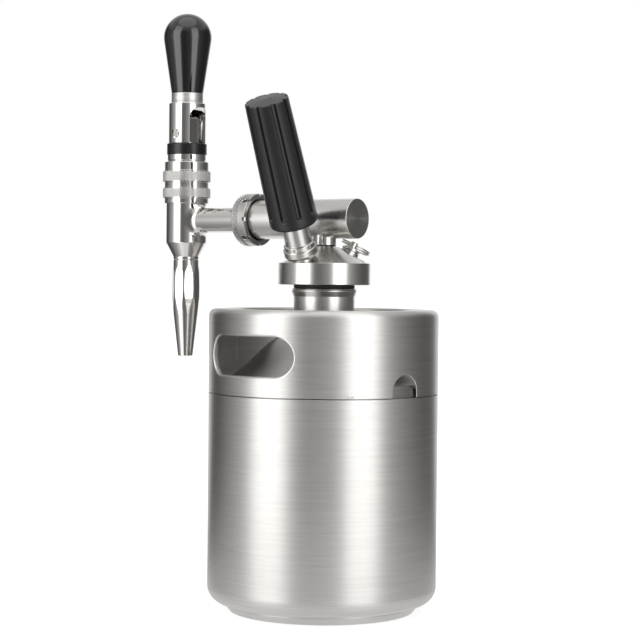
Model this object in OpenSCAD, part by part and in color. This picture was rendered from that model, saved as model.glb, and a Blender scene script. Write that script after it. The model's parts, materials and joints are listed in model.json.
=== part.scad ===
// Nitro cold brew coffee keg with a stout tap.
// A steel keg of about 3.6 litres, with a screw-in head that carries a gas inlet and its
// cartridge sleeve, a relief valve with a pull ring, and a stout tap with a long spout.
// Up is +Z, the tap pours on the -Y side, and the origin is the centre of the foot on the table.
// All lengths are in millimetres.

/* [Keg] */
// Outer diameter of the keg
keg_d = 165; // [155:1:175]
// Height of the seam between the lower shell and the handle ring
seam_z = 156.5; // [120:0.5:190]
// Height of the handle ring above the seam
ring_h = 60; // [54:0.5:70]
// Sheet thickness of the keg
keg_wall = 1; // [0.8:0.1:1.3]
// Radius of the lower shell's bottom corner
corner_r = 12; // [9:0.5:14]
// Height of the foot ring under the shell
foot_h = 6; // [5:0.5:8]
// Step from the flat of the keg's bottom in to the foot ring's lower edge
foot_inset = 4; // [3.8:0.1:8]
// Turn of the keg under the head, about the upright axis
keg_turn = -6.7; // [-20:0.1:20]

/* [Handle ring] */
// Length of a handle slot, end to end
slot_len = 77; // [70:1:80]
// Height of a handle slot
slot_h = 27.5; // [24:0.5:30]
// Width of a drain notch
notch_w = 23.5; // [16:0.5:25]
// Height of a drain notch above the seam
notch_h = 16; // [14:0.5:18]
// Turn from a handle slot's centre to a drain notch
notch_turn = 86.4; // [80:0.2:100]
// Radius of the opening inside the top rim
rim_in_r = 62; // [56:0.5:66]

/* [Neck and shoulder] */
// Outer radius of the neck
neck_r = 22; // [21:0.25:23.5]
// Radius of the mouth inside the neck
mouth_r = 19.4; // [19:0.1:19.8]
// Height of the neck's top above the keg's rim
neck_len = 15.1; // [12:0.1:18]
// Height of the shoulder's slope from its edge to the neck
shoulder_h = 38; // [34:0.5:42]

/* [Lid] */
// Radius of the lid
cap_r = 33.3; // [31.5:0.1:35]
// Height of the lid's side
cap_h = 15.5; // [14:0.5:18]
// Slope of the lid's cone
cone_slope = 28.5; // [26:0.5:30]
// Length of the threaded plug under the lid
plug_len = 22; // [19:0.5:24]
// Outer diameter of the dip tube
dip_d = 8; // [7:0.5:8.5]
// Gap between the dip tube's end and the keg's bottom
dip_gap = 8; // [4:0.5:14]

/* [Tap tube] */
// Diameter of the tap tube
tube_d = 28.6; // [27.5:0.1:29.5]
// Height of the tap tube's axis above the lid's cone
post_h = 19.7; // [18:0.1:26]
// Length of the tap tube behind the keg's axis
tube_back = 28.8; // [24:0.2:34]
// Length of the tap tube in front of the keg's axis
tube_front = 64.5; // [60:0.5:68]
// Diameter of the post that carries the tube
post_d = 16.5; // [15:0.5:17.5]
// Outer diameter of the coupling nut
nut_d = 38.6; // [36:0.2:40]
// Width of the coupling nut
nut_w = 12.7; // [11.5:0.1:14]

/* [Tap body] */
// Distance from the keg's axis to the tap's axis
tap_reach = 130; // [124:0.5:136]
// Diameter of the tap body
body_d = 30.8; // [29.5:0.1:32]
// Height of the tap body's cylinder
body_h = 30.3; // [29:0.1:32]
// Diameter of the shank behind the tap body
shank_d = 18.7; // [17:0.1:20]
// Diameter of the neck under the tap body
tap_neck_d = 19.3; // [18:0.1:20]

/* [Spout] */
// Length of the spout below the tap body
spout_len = 73; // [66:0.5:80]
// Diameter of the spout at its widest
spout_d = 21.4; // [20.6:0.1:22.6]
// Diameter of the spout's tip
tip_d = 11.2; // [10:0.1:12]
// Diameter of the spout's bore
outlet_d = 7.2; // [6:0.1:7.6]

/* [Bonnet and lever] */
// Diameter of the knurled bands
knurl_d = 35.4; // [34.6:0.1:37]
// Diameter of the polished steps beside the knurled bands
step_d = 33.6; // [32.6:0.1:34.4]
// Diameter of the lever
lever_d = 27.8; // [27:0.1:29]
// Height of the lever
lever_h = 30.4; // [29:0.2:33]
// Height of the lever's pin above its lower face
pin_h = 7.1; // [6.5:0.1:8]

/* [Knob] */
// Diameter of the knob at its widest
knob_d = 36.4; // [33:0.2:40]
// Height of the knob
knob_h = 60.3; // [55:0.5:68]
// Diameter of the knob's lower end
knob_foot_d = 24; // [22.5:0.2:26]
// Height of the ferrule under the knob
ferrule_h = 7.6; // [6:0.2:10]

/* [Gas inlet] */
// Distance from the keg's axis to the inlet on the cone
port_r = 26.5; // [25.5:0.1:27.5]
// Tilt of the inlet from upright
port_tilt = 25; // [23:0.5:28]
// Turn of the inlet's lean away from the radial direction
port_skew = 6; // [0:1:8]
// Diameter of the inlet's collar
collar_d = 24.2; // [22.5:0.1:25.5]
// Diameter of the inlet's barrel
barrel_d = 19.4; // [18.4:0.1:20.4]

/* [Cartridge sleeve] */
// Diameter of the sleeve at its foot
sleeve_foot_d = 34.4; // [33.6:0.2:36]
// Diameter of the sleeve at its top
sleeve_top_d = 30.6; // [30:0.2:32]
// Number of flutes round the sleeve
flute_count = 8; // [6:1:10]
// Diameter of the gas cartridge
cartridge_d = 22; // [20:0.2:22.4]
// Length of the gas cartridge
cartridge_len = 88; // [70:0.5:105]

/* [Relief valve] */
// Distance from the keg's axis to the relief valve on the cone
relief_r = 18.8; // [18:0.1:20]
// Direction of the relief valve round the lid
relief_azimuth = 145; // [140:1:150]
// Diameter of the relief valve's body
relief_d = 13.5; // [12.5:0.1:14.5]
// Outer diameter of the pull ring
ring_d = 22.9; // [21:0.1:24]
// Wire diameter of the pull ring
ring_wire = 1.15; // [1.05:0.05:1.2]

/* [Hidden] */

$fn = 96;
// Number of straight steps in a drawn arc
arc_steps = 10;
// How far a cut runs past the surface that it opens
overrun = 1;
// Radial clearance of a running or screwed fit
fit = 0.05;
// Gap that keeps two thread crests from touching
thread_gap = 0.2;
// Gap between a moving piece and its neighbour
seat_gap = 0.3;
// Gap that keeps the keg's mouth clear of the seal that rests on it
mouth_gap = 0.02;

// Keg
keg_r = keg_d / 2;
keg_h = seam_z + ring_h;
slot_place_share = 0.467;
slot_z = seam_z + ring_h * slot_place_share;
seam_gap = 0.8;
cup_top_z = seam_z - seam_gap / 2;
chime_z = seam_z + seam_gap / 2;
lap_h = 6;
ledge_h = 5.2;
ledge_edge_r = 2.5;
ledge_sweep = 80;
lap_r = keg_r - keg_wall - fit;
ledge_z = seam_z + ledge_h;
shoulder_z = ledge_z + shoulder_h;
foot_r = keg_r - corner_r - foot_inset;
foot_wall = 3.6;
foot_sweep = -30;
foot_round = 0.8;
foot_flare = 3.6;
foot_groove = 0.6;
rim_r = 5;
rim_lip_r = 2;
slot_trim_depth = 3;
slot_trim_wall = 1;
neck_top_z = keg_h + neck_len;
neck_tail = 1.5;
bead_r = 1.5;
bead_h = 6;
bead_peak_share = 0.35;
bead_edge_share = 0.6;
bead_top_share = 0.1;
thread_pitch = 3;
thread_depth = 0.55;
thread_rings = 5;
thread_start = 3;

// Lid
seal_h = 2.4;
cap_z = neck_top_z + seal_h;
cap_top_z = cap_z + cap_h;
cap_edge = 0.6;
cap_rim = 2.3;
cone_foot_r = cap_r - cap_rim;
cone_step = 0.3;
post_land = 1;
cone_top_r = post_d / 2 + post_land;
plug_z = cap_z - plug_len;
plug_r = mouth_r - thread_gap;
post_r = post_d / 2;
post_socket_r = 6.5;
post_socket_depth = 11.5;
liquid_r = 2.6;
dip_r = dip_d / 2;
dip_wall = 1;
dip_bore_r = dip_r - dip_wall;
dip_z = foot_h + keg_wall + dip_gap;
dip_socket_depth = 14;
dip_nut_d = 16;
dip_nut_h = 6;
dip_oring_h = 1.2;
post_seal_h = 0.8;
gallery_r = 1.5;
gallery_feed_r = 1.3;
relief_gallery_r = 12.7;
port_gallery_r = 15.1;

// Tube and coupling
tube_r = tube_d / 2;
tube_edge = 0.4;
tube_bore_r = 5;
tube_bore_end = 7;
post_spigot_r = 5;
tube_thread_len = 5;
nut_r = nut_d / 2;
nut_lip = 3;
washer_h = 1.5;
flange_h = 3;
flange_step = 0.7;
flange_r = tube_r - flange_step;
nut_back_y = -(tube_front + washer_h + flange_h + nut_lip);
knurled_share = 0.4;
nut_groove = 0.5;
spanner_hole_r = 1.8;
spanner_hole_depth = 3;
spanner_holes = 6;
nut_notches = 8;
nut_notch_w = 3;
nut_notch_depth = 2.2;
nut_notch_l = 1.8;
washer_in_r = 6;

// Tap body
body_r = body_d / 2;
shank_r = shank_d / 2;
tap_neck_r = tap_neck_d / 2;
shank_bore_r = 4;
body_above_axis = 12.8;
body_cone_h = 9.9;
tap_neck_h = 2.1;
parting_chamfer = 0.4;
cavity_r = 9.5;
bonnet_thread_r = 12;
bonnet_thread_len = 10.6;
seat_depth = 1.8;
seat_hole_r = 4.5;
spigot_r = 6.5;
spigot_h = 5;
flare_r = 3.4;
flare_len = 6;

// Spout
spout_r = spout_d / 2;
tip_r = tip_d / 2;
outlet_r = outlet_d / 2;
spout_collar_h = 4.2;
spout_flare_h = 4.6;
spout_belly_share = 0.4;
facets = 8;
spout_turn = 7.5;
upper_flat_cut = 0.75;
lower_flat_cut = 0.5;
tip_round = 0.4;
straightener_top_share = 0.62;
straightener_len = 22;
straightener_gap = 0.1;
straightener_ledge = 0.4;
vane_t = 0.8;
plate_r = 5.4;
plate_h = 1.2;
plate_holes = 5;
plate_hole_r = 0.4;
plate_pitch_r = 2.6;
spout_seal_h = 1;

// Bonnet
knurl_r = knurl_d / 2;
step_r = step_d / 2;
bonnet_step_h = 3.8;
knurl_low_h = 8.4;
waist_h = 3.8;
knurl_high_h = 9.1;
crown_h = 6.4;
core_top_h = 5.6;
core_top_r = 14.7;
core_groove = 0.5;
core_r = 13.4;
knurl_edge = 0.6;
friction_h = 8.4;
friction_r = 15.1;
friction_edge = 0.8;

// Valve
guide_r = 6.4;
guide_bore_r = guide_r + fit;
guide_drop = 0.8;
bonnet_roof_h = 2;
rod_r = 3.2;
valve_seal_h = 2.5;
valve_seal_r = 8.2;
valve_head_h = 3;
valve_head_r = 8.6;
oring_wire = 1.3;
oring_rise = 8;
tongue_half_x = 8.9;
tongue_half_y = guide_r;
tongue_gap = 0.9;
tongue_top = 13.8;
tongue_corner = 3;
spring_wire = 1.2;
spring_mid_r = 6.9;
spring_curls = 7;

// Lever, pin and knob
lever_r = lever_d / 2;
pin_r = 2.2;
pin_head_r = 3.3;
pin_head_h = 1;
pin_recess_r = 3.75;
pin_recess_depth = 1.6;
slot_half_x = 9.3;
slot_front = 10;
slot_roof = 6;
slot_corner = 5;
lever_edge = 0.6;
stud_r = 4;
stud_foot = 4.8;
stud_len = 34;
ferrule_r = knob_foot_d / 2;
ferrule_edge = 0.3;
knob_r = knob_d / 2;
knob_foot_r = knob_foot_d / 2;
knob_foot_round = 0.5;

// Gas inlet, measured along the inlet's own axis from the cone
inlet_sink = 2;
inlet_neck_r = 9;
inlet_collar_s = 3;
inlet_collar_h = 6;
inlet_band_h = 3.6;
inlet_barrel_s = inlet_collar_s + inlet_collar_h + inlet_band_h;
inlet_barrel_h = 14.9;
inlet_thread_s = inlet_barrel_s + inlet_barrel_h;
inlet_thread_h = 8;
inlet_thread_r = 9;
inlet_stub_r = 6.9;
inlet_stub_len = 12;
collar_r = collar_d / 2;
barrel_r = barrel_d / 2;
band_r = 11;
collar_taper = 1.6;
vent_groove_w = 2.4;
vent_groove_depth = 0.8;
vent_groove_len = 11;
port_throat_r = 4.7;
port_throat_s = 22;
gas_way_r = 1.5;
check_chamber_r = 3.6;
check_chamber_top_s = 4;
check_chamber_len = 13;
check_cage_h = 3;
check_head_r = 2.9;
check_head_h = 2;
check_tail_r = 1;
check_tail_len = 4;
check_spring_wire = 0.7;
check_spring_mid_r = 2.2;
check_spring_curls = 5;
pin_base_r = 4.6;
pin_base_h = 2;
pin_point_h = 4.4;
pin_point_r = 1.3;
pin_tip_r = 0.5;
pin_gas_r = 0.3;
gas_seal_h = 1.4;
gas_seal_in_r = 1.6;

// Gas cartridge and sleeve
cartridge_r = cartridge_d / 2;
cartridge_s = port_throat_s + pin_base_h + gas_seal_h;
cartridge_neck_r = 4.4;
cartridge_neck_len = 10;
cartridge_shoulder = 12;
cartridge_wall = 1.2;
cartridge_mouth_depth = 5;
cartridge_mouth_r = 1.8;
sleeve_overlap = 0.6;
sleeve_s = inlet_barrel_s + inlet_barrel_h - sleeve_overlap;
sleeve_foot_r = sleeve_foot_d / 2;
sleeve_top_r = sleeve_top_d / 2;
sleeve_edge = 2.6;
sleeve_top_edge = 0.8;
sleeve_dome = 0.8;
sleeve_roof = 3;
cartridge_room = 2.7;
sleeve_len = cartridge_s + cartridge_len + cartridge_room + sleeve_roof + sleeve_dome - sleeve_s;
sleeve_bore_r = cartridge_r + seat_gap;
insert_r = 13.4;
insert_h = 11;
insert_step = 0.8;
sleeve_skirt_r = barrel_r + seat_gap;
flute_w = 2.4;
flute_depth = 0.9;
flute_start = 9.5;
flute_phase = 27;
sleeve_vent_r = 0.7;
sleeve_vent_offset = 3;

// Relief valve, measured along its own axis from the cone
relief_body_r = relief_d / 2;
relief_stub_r = 4.9;
relief_stub_len = 10;
relief_sink = 1;
relief_body_h = 3.6;
relief_cap_h = 0.9;
relief_cap_r = 5.2;
relief_chamber_r = 3.5;
relief_floor = 1.5;
relief_roof = 1.5;
relief_hole_r = 1.4;
relief_rod_r = 1.5;
relief_seal_h = 1.2;
relief_seal_r = 3;
relief_flange_h = 1.2;
relief_vent_r = 0.7;
relief_vents = 4;
vent_height_share = 0.72;
relief_groove = 0.5;
stem_turn = -28;
eye_r = 2.7;
eye_h = 4.6;
eye_hole_r = 1.6;
eye_s = relief_body_h + relief_cap_h + seat_gap;
eye_axis_s = eye_s + eye_h / 2;
ring_mid_r = (ring_d - ring_wire) / 2;
ring_gap = 0.46;
ring_tilt = 7;
ring_turns = 2;
relief_spring_wire = 0.8;
relief_spring_mid_r = 2.5;
relief_spring_curls = 5;

// Height of the lid's cone at a distance from its axis
function cone_z(r) = cap_top_z + cone_step + (cone_foot_r - r) * tan(cone_slope);

cone_top_z = cone_z(cone_top_r);
tube_z = cone_top_z + post_h;

// Heights of the tap, from its body up to the knob and down to the spout's tip
body_top_z = tube_z + body_above_axis;
body_foot_z = body_top_z - body_h;
tap_neck_z = body_foot_z - body_cone_h - tap_neck_h;
spout_top_z = tap_neck_z;
tip_z = spout_top_z - spout_len;
waist_z = body_top_z + bonnet_step_h + knurl_low_h;
crown_z = waist_z + waist_h + knurl_high_h;
core_flange_z = crown_z + crown_h;
friction_z = core_flange_z + core_top_h;
lever_z = friction_z + friction_h;
pin_z = lever_z + pin_h;
knob_z = lever_z + lever_h + ferrule_h;

// Heights inside the tap
seat_z = body_foot_z - seat_depth;
valve_head_z = seat_z + valve_seal_h;
guide_z = body_top_z - guide_drop;
bonnet_roof_z = body_top_z - bonnet_roof_h;
oring_z = guide_z + oring_rise;

// Points of an arc about a centre, from one angle to another
function arc(centre, r, from, to, steps = arc_steps) =
    [for (i = [0 : steps]) let (a = from + (to - from) * i / steps) centre + r * [cos(a), sin(a)]];

// A point on a helix about +Z at an angle
function helix_point(r, pitch, a) = [r * cos(a), r * sin(a), pitch * a / 360];

// A tube wound on a helix about +Z, whose axis starts at height 0
module wound_tube(mid_r, wire, height, curls, rings = 8, sides = 6) {
    pitch = height / curls;
    count = ceil(curls * rings);
    rise = atan(pitch / (2 * PI * mid_r));
    points = [for (i = [0 : count])
        let (a = 360 * curls * i / count, out = [cos(a), sin(a), 0],
            up = [sin(a) * sin(rise), -cos(a) * sin(rise), cos(rise)])
        for (k = [0 : sides - 1])
            let (b = 360 * k / sides)
            helix_point(mid_r, pitch, a) + wire / 2 * (cos(b) * out + sin(b) * up)];
    wall = [for (i = [0 : count - 1], k = [0 : sides - 1])
        let (n = (k + 1) % sides)
        each [[i * sides + k, i * sides + n, (i + 1) * sides + n],
            [i * sides + k, (i + 1) * sides + n, (i + 1) * sides + k]]];
    low_cap = [for (k = [1 : sides - 2]) [0, k + 1, k]];
    last = count * sides;
    high_cap = [for (k = [1 : sides - 2]) [last, last + k, last + k + 1]];
    echo("least gap of a wound tube to itself", pitch * cos(rise) - wire);
    polyhedron(points, concat(wall, low_cap, high_cap));
}

// A round bar or bore about +Z between two heights
module rod(r, from, to) {
    translate([0, 0, from])
        cylinder(r = r, h = to - from);
}

// A stadium of a length and a height, drawn flat
module stadium(length, height) {
    square([length - height, height], center = true);
    for (side = [-1, 1])
        translate([side * (length - height) / 2, 0])
            circle(d = height);
}

// What stands on the keg, turned under the head
module at_keg() {
    rotate([0, 0, keg_turn])
        children();
}

// A flat outline pushed outwards through the keg's wall, its y upwards and its x round the keg
module through_wall(turn, z, from) {
    rotate([0, 0, turn])
        translate([from, 0, z])
            rotate([90, 0, 90])
                linear_extrude(keg_r + overrun - from)
                    children();
}

// The tap tube's axis, with +Z of the piece towards +Y and its origin at y
module at_tube(y = 0) {
    translate([0, y, tube_z])
        rotate([-90, 0, 0])
            children();
}

// The tap's upright axis
module at_tap() {
    translate([0, -tap_reach, 0])
        children();
}

// The gas inlet's axis, from the cone outwards
module at_port() {
    translate([port_r, 0, cone_z(port_r)])
        rotate([0, 0, port_skew])
            rotate([0, port_tilt, 0])
                children();
}

// The relief valve's axis, from the cone outwards, with +X down the slope
module at_relief() {
    rotate([0, 0, relief_azimuth])
        translate([relief_r, 0, cone_z(relief_r)])
            rotate([0, cone_slope, 0])
                children();
}

// Rings that stand for a thread, outside a core or inside a bore
module thread_rings_on(core_r, depth, from, count, pitch = thread_pitch) {
    for (i = [0 : count - 1])
        translate([0, 0, from + i * pitch])
            rotate_extrude()
                polygon([
                    [core_r - overrun / 2, 0],
                    [core_r, 0],
                    [core_r + depth, pitch / 4],
                    [core_r + depth, pitch / 2],
                    [core_r, pitch * 3 / 4],
                    [core_r - overrun / 2, pitch * 3 / 4]
                ]);
}

// Keg

module foot_ring() color("silver") at_keg()
    rotate_extrude()
        polygon(concat(
            [[foot_r - foot_wall, 0]],
            arc([foot_r - foot_round, foot_round], foot_round, -90, foot_sweep, arc_steps / 2),
            [
                [foot_r + foot_flare, foot_h - foot_groove * 2],
                [foot_r + foot_flare, foot_h - foot_groove],
                [foot_r + foot_flare - foot_groove, foot_h],
                [foot_r + foot_flare - foot_wall, foot_h]
            ]));

module vessel_cup() color("lightgray") at_keg()
    rotate_extrude()
        polygon(concat(
            [[0, foot_h + keg_wall], [0, foot_h]],
            arc([keg_r - corner_r, foot_h + corner_r], corner_r, -90, 0),
            [[keg_r, cup_top_z], [keg_r - keg_wall, cup_top_z]],
            arc([keg_r - corner_r, foot_h + corner_r], corner_r - keg_wall, 0, -90)));

// Points of the shoulder's slope, at a depth under its outer face
function slope_points(depth, from, to) =
    [for (i = [from : sign(to - from) : to])
        let (
            t = i / (arc_steps * 2),
            run = lap_r - ledge_edge_r - neck_r - fit,
            lean = atan(shoulder_h * PI / 2 * sin(180 * t) / run))
        [
            neck_r + fit + run * (1 - t) - depth * sin(lean),
            ledge_z + shoulder_h * (1 - cos(180 * t)) / 2 - depth * cos(lean)
        ]];

module vessel_shoulder() color("lightgray") at_keg()
    rotate_extrude()
        polygon(concat(
            [[lap_r - keg_wall, seam_z - lap_h], [lap_r, seam_z - lap_h]],
            arc([lap_r - ledge_edge_r, ledge_z - ledge_edge_r], ledge_edge_r, 0, ledge_sweep),
            slope_points(0, 0, arc_steps * 2),
            slope_points(keg_wall, arc_steps * 2, 0),
            arc([lap_r - ledge_edge_r, ledge_z - ledge_edge_r], ledge_edge_r - keg_wall, ledge_sweep, 0)));

module keg_neck() color("silver") at_keg() {
    rotate_extrude()
        polygon([
            [mouth_r + thread_depth, shoulder_z - keg_wall - neck_tail],
            [neck_r, shoulder_z - keg_wall - neck_tail],
            [neck_r, neck_top_z - bead_h],
            [neck_r + bead_r, neck_top_z - bead_h * bead_peak_share],
            [neck_r + bead_r * bead_edge_share, neck_top_z - bead_h * bead_top_share],
            [neck_r, neck_top_z],
            [mouth_r + thread_depth, neck_top_z]
        ]);
    thread_rings_in();
}

// The crests inside the neck
module thread_rings_in() {
    for (i = [0 : thread_rings - 1])
        translate([0, 0, neck_top_z - thread_start - (i + 1) * thread_pitch])
            rotate_extrude()
                polygon([
                    [mouth_r + thread_depth + overrun / 2, 0],
                    [mouth_r + thread_depth, 0],
                    [mouth_r, thread_pitch / 4],
                    [mouth_r, thread_pitch / 2],
                    [mouth_r + thread_depth, thread_pitch * 3 / 4],
                    [mouth_r + thread_depth + overrun / 2, thread_pitch * 3 / 4]
                ]);
}

module notch_outline() {
    translate([-notch_w / 2, -overrun])
        square([notch_w, notch_h - notch_w / 2 + overrun]);
    translate([0, notch_h - notch_w / 2])
        circle(d = notch_w);
}

module top_chime() color("lightgray") at_keg()
    difference() {
        union() {
            rotate_extrude()
                polygon(concat(
                    [[keg_r - keg_wall, chime_z], [keg_r, chime_z]],
                    arc([keg_r - rim_r, keg_h - rim_r], rim_r, 0, 90),
                    arc([rim_in_r + rim_lip_r, keg_h - rim_lip_r], rim_lip_r, 90, 180),
                    arc([rim_in_r + rim_lip_r, keg_h - rim_lip_r], rim_lip_r - keg_wall, 180, 90),
                    arc([keg_r - rim_r, keg_h - rim_r], rim_r - keg_wall, 90, 0)));
            for (turn = [0, 180])
                intersection() {
                    difference() {
                        rod(keg_r - keg_wall / 2, chime_z, keg_h - rim_r);
                        rod(keg_r - keg_wall - slot_trim_depth, chime_z - overrun, keg_h);
                    }
                    through_wall(turn, slot_z, keg_r / 2)
                        stadium(slot_len + 2 * slot_trim_wall, slot_h + 2 * slot_trim_wall);
                }
        }
        for (turn = [0, 180])
            through_wall(turn, slot_z, keg_r / 2)
                stadium(slot_len, slot_h);
        for (turn = [notch_turn, notch_turn + 180])
            through_wall(turn, chime_z, keg_r / 2)
                notch_outline();
    }

// Lid, plug and dip tube

module lid_seal() color("black")
    difference() {
        rod(neck_r - fit, neck_top_z + mouth_gap, cap_z);
        rod(mouth_r, neck_top_z - overrun, cap_z + overrun);
    }

module lid_cap() color("gainsboro")
    difference() {
        union() {
            rotate_extrude()
                polygon([
                    [0, cap_z],
                    [cap_r - cap_edge, cap_z],
                    [cap_r, cap_z + cap_edge],
                    [cap_r, cap_top_z - cap_edge],
                    [cap_r - cap_edge, cap_top_z],
                    [cone_foot_r, cap_top_z + cone_step],
                    [cone_top_r, cone_top_z],
                    [0, cone_top_z]
                ]);
            rod(plug_r - thread_depth, plug_z, cap_z);
            thread_rings_on(plug_r - thread_depth, thread_depth, plug_z + 2 * cap_edge, thread_rings);
        }
        rod(post_socket_r, cone_top_z - post_socket_depth, cone_top_z + overrun);
        rod(liquid_r, plug_z, cone_top_z);
        rod(dip_r + fit, plug_z - overrun, plug_z + dip_socket_depth);
        at_port() {
            rod(inlet_neck_r + fit, -inlet_sink, 3 * inlet_sink);
            rod(inlet_stub_r + fit, -inlet_stub_len, 0);
            rod(gallery_feed_r, -gallery_s(port_r, port_gallery_r, port_tilt), 0);
        }
        gallery_drop(port_r, port_gallery_r, port_tilt, port_skew, 0);
        at_relief() {
            rod(relief_body_r + fit, -relief_sink, 2 * relief_sink + relief_body_h);
            rod(relief_stub_r + fit, -relief_stub_len, 0);
            rod(gallery_feed_r, -gallery_s(relief_r, relief_gallery_r, cone_slope), 0);
        }
        gallery_drop(relief_r, relief_gallery_r, cone_slope, 0, relief_azimuth);
    }

// Distance down a slanted way, from the cone to the upright way that it meets
function gallery_s(from_r, to_r, tilt) = (from_r - to_r) / sin(tilt);

// The upright gas way in the plug, up to the slanted one
module gallery_drop(from_r, to_r, tilt, skew, azimuth) {
    s = gallery_s(from_r, to_r, tilt);
    top_z = cone_z(from_r) - s * cos(tilt) + gallery_r;
    rotate([0, 0, azimuth])
        translate([from_r, 0, 0])
            rotate([0, 0, skew])
                translate([-s * sin(tilt), 0, 0])
                    rod(gallery_r, plug_z - overrun, top_z);
}

module dip_tube() color("silver")
    difference() {
        rod(dip_r, dip_z, plug_z + dip_socket_depth);
        rod(dip_bore_r, dip_z - overrun, plug_z + dip_socket_depth + overrun);
    }

module dip_nut() color("silver")
    difference() {
        translate([0, 0, plug_z - dip_oring_h - dip_nut_h])
            cylinder(d = dip_nut_d, h = dip_nut_h, $fn = 6);
        rod(dip_r + fit, plug_z - dip_oring_h - dip_nut_h - overrun, plug_z);
    }

module dip_oring() color("black")
    difference() {
        rod(dip_r + 2 * oring_wire, plug_z - dip_oring_h, plug_z);
        rod(dip_r + fit, plug_z - dip_oring_h - overrun, plug_z + overrun);
    }

// Post, tube and coupling

module post_seal() color("black")
    difference() {
        rod(post_r - fit, cone_top_z, cone_top_z + post_seal_h);
        rod(post_socket_r, cone_top_z - overrun, cone_top_z + post_seal_h + overrun);
    }

module riser_post() color("gainsboro")
    difference() {
        union() {
            difference() {
                rod(post_r, cone_top_z + post_seal_h, tube_z);
                at_tube(-post_d)
                    cylinder(r = tube_r + fit, h = 2 * post_d);
            }
            rod(post_spigot_r, cone_top_z, tube_z - tube_bore_r);
            rod(post_socket_r - fit, cone_top_z - post_socket_depth, cone_top_z + post_seal_h + overrun);
        }
        rod(liquid_r, cone_top_z - post_socket_depth - overrun, tube_z);
    }

module tap_tube() color("gainsboro")
    difference() {
        at_tube()
            difference() {
                rotate_extrude()
                    polygon([
                        [0, -tube_front],
                        [tube_r - thread_depth, -tube_front],
                        [tube_r - thread_depth, tube_thread_len - tube_front],
                        [tube_r, tube_thread_len + thread_depth - tube_front],
                        [tube_r, tube_back - tube_edge],
                        [tube_r - tube_edge, tube_back],
                        [0, tube_back]
                    ]);
                rod(tube_bore_r, -tube_front - overrun, tube_bore_end);
            }
        rod(post_spigot_r + fit, tube_z - tube_r - overrun, tube_z);
    }

module coupling_nut() color("darkgray")
    at_tube(nut_back_y)
        difference() {
            rotate_extrude()
                polygon([
                    [shank_r + seat_gap, 0],
                    [nut_r - nut_groove, 0],
                    [nut_r, nut_groove],
                    [nut_r, nut_w * knurled_share - nut_groove],
                    [nut_r - nut_groove, nut_w * knurled_share],
                    [nut_r, nut_w * knurled_share + nut_groove],
                    [nut_r, nut_w - nut_groove],
                    [nut_r - nut_groove, nut_w],
                    [tube_r + fit, nut_w],
                    [tube_r + fit, nut_lip],
                    [shank_r + seat_gap, nut_lip]
                ]);
            for (i = [0 : spanner_holes - 1])
                rotate([0, 0, (i + 0.5) * 360 / spanner_holes])
                    translate([nut_r - spanner_hole_depth, 0, nut_w * (1 + knurled_share) / 2])
                        rotate([0, 90, 0])
                            cylinder(r = spanner_hole_r, h = spanner_hole_depth + overrun);
            for (i = [0 : nut_notches - 1])
                rotate([0, 0, i * 360 / nut_notches])
                    translate([nut_r - nut_notch_depth, -nut_notch_w / 2, nut_w - nut_notch_l])
                        cube([nut_notch_depth + overrun, nut_notch_w, nut_notch_l + overrun]);
        }

module coupling_washer() color("black")
    at_tube(-tube_front - washer_h)
        difference() {
            rod(flange_r, 0, washer_h);
            rod(washer_in_r, -overrun, washer_h + overrun);
        }

// Tap body and spout

module faucet_body() color("gainsboro")
    difference() {
        union() {
            at_tap()
                rotate_extrude()
                    polygon([
                        [0, tap_neck_z],
                        [tap_neck_r - parting_chamfer, tap_neck_z],
                        [tap_neck_r, tap_neck_z + parting_chamfer],
                        [tap_neck_r, tap_neck_z + tap_neck_h],
                        [body_r, body_foot_z],
                        [body_r, body_top_z],
                        [0, body_top_z]
                    ]);
            at_tube(-tap_reach)
                rotate_extrude()
                    polygon(concat(
                        [[0, 0], [shank_r + flare_r, 0]],
                        [for (p = arc([shank_r + flare_r, body_r + flare_len], 1, 270, 180, arc_steps))
                            [
                                shank_r + flare_r + (p[0] - shank_r - flare_r) * flare_r,
                                body_r + flare_len + (p[1] - body_r - flare_len) * flare_len
                            ]],
                        [
                            [shank_r, tap_reach - tube_front - washer_h - flange_h],
                            [flange_r, tap_reach - tube_front - washer_h - flange_h],
                            [flange_r, tap_reach - tube_front - washer_h],
                            [0, tap_reach - tube_front - washer_h]
                        ]));
        }
        at_tube(-tap_reach)
            rod(shank_bore_r, 0, tap_reach);
        at_tap() {
            rod(bonnet_thread_r + fit, body_top_z - bonnet_thread_len, body_top_z + overrun);
            rod(cavity_r, seat_z, body_top_z);
            rod(seat_hole_r, tap_neck_z, body_top_z);
            rod(spigot_r + fit, tap_neck_z - overrun, tap_neck_z + spigot_h + spout_seal_h);
        }
    }

// Radius of the spout's outline, before its flats are cut, from its widest part to its tip
belly_z = spout_top_z - spout_len * spout_belly_share;
lower_lean = atan((spout_r - tip_r) / (belly_z - tip_z));
straightener_z = tip_z + spout_len * straightener_top_share - straightener_len;
straightener_bore_r = outlet_r + straightener_ledge;

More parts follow.
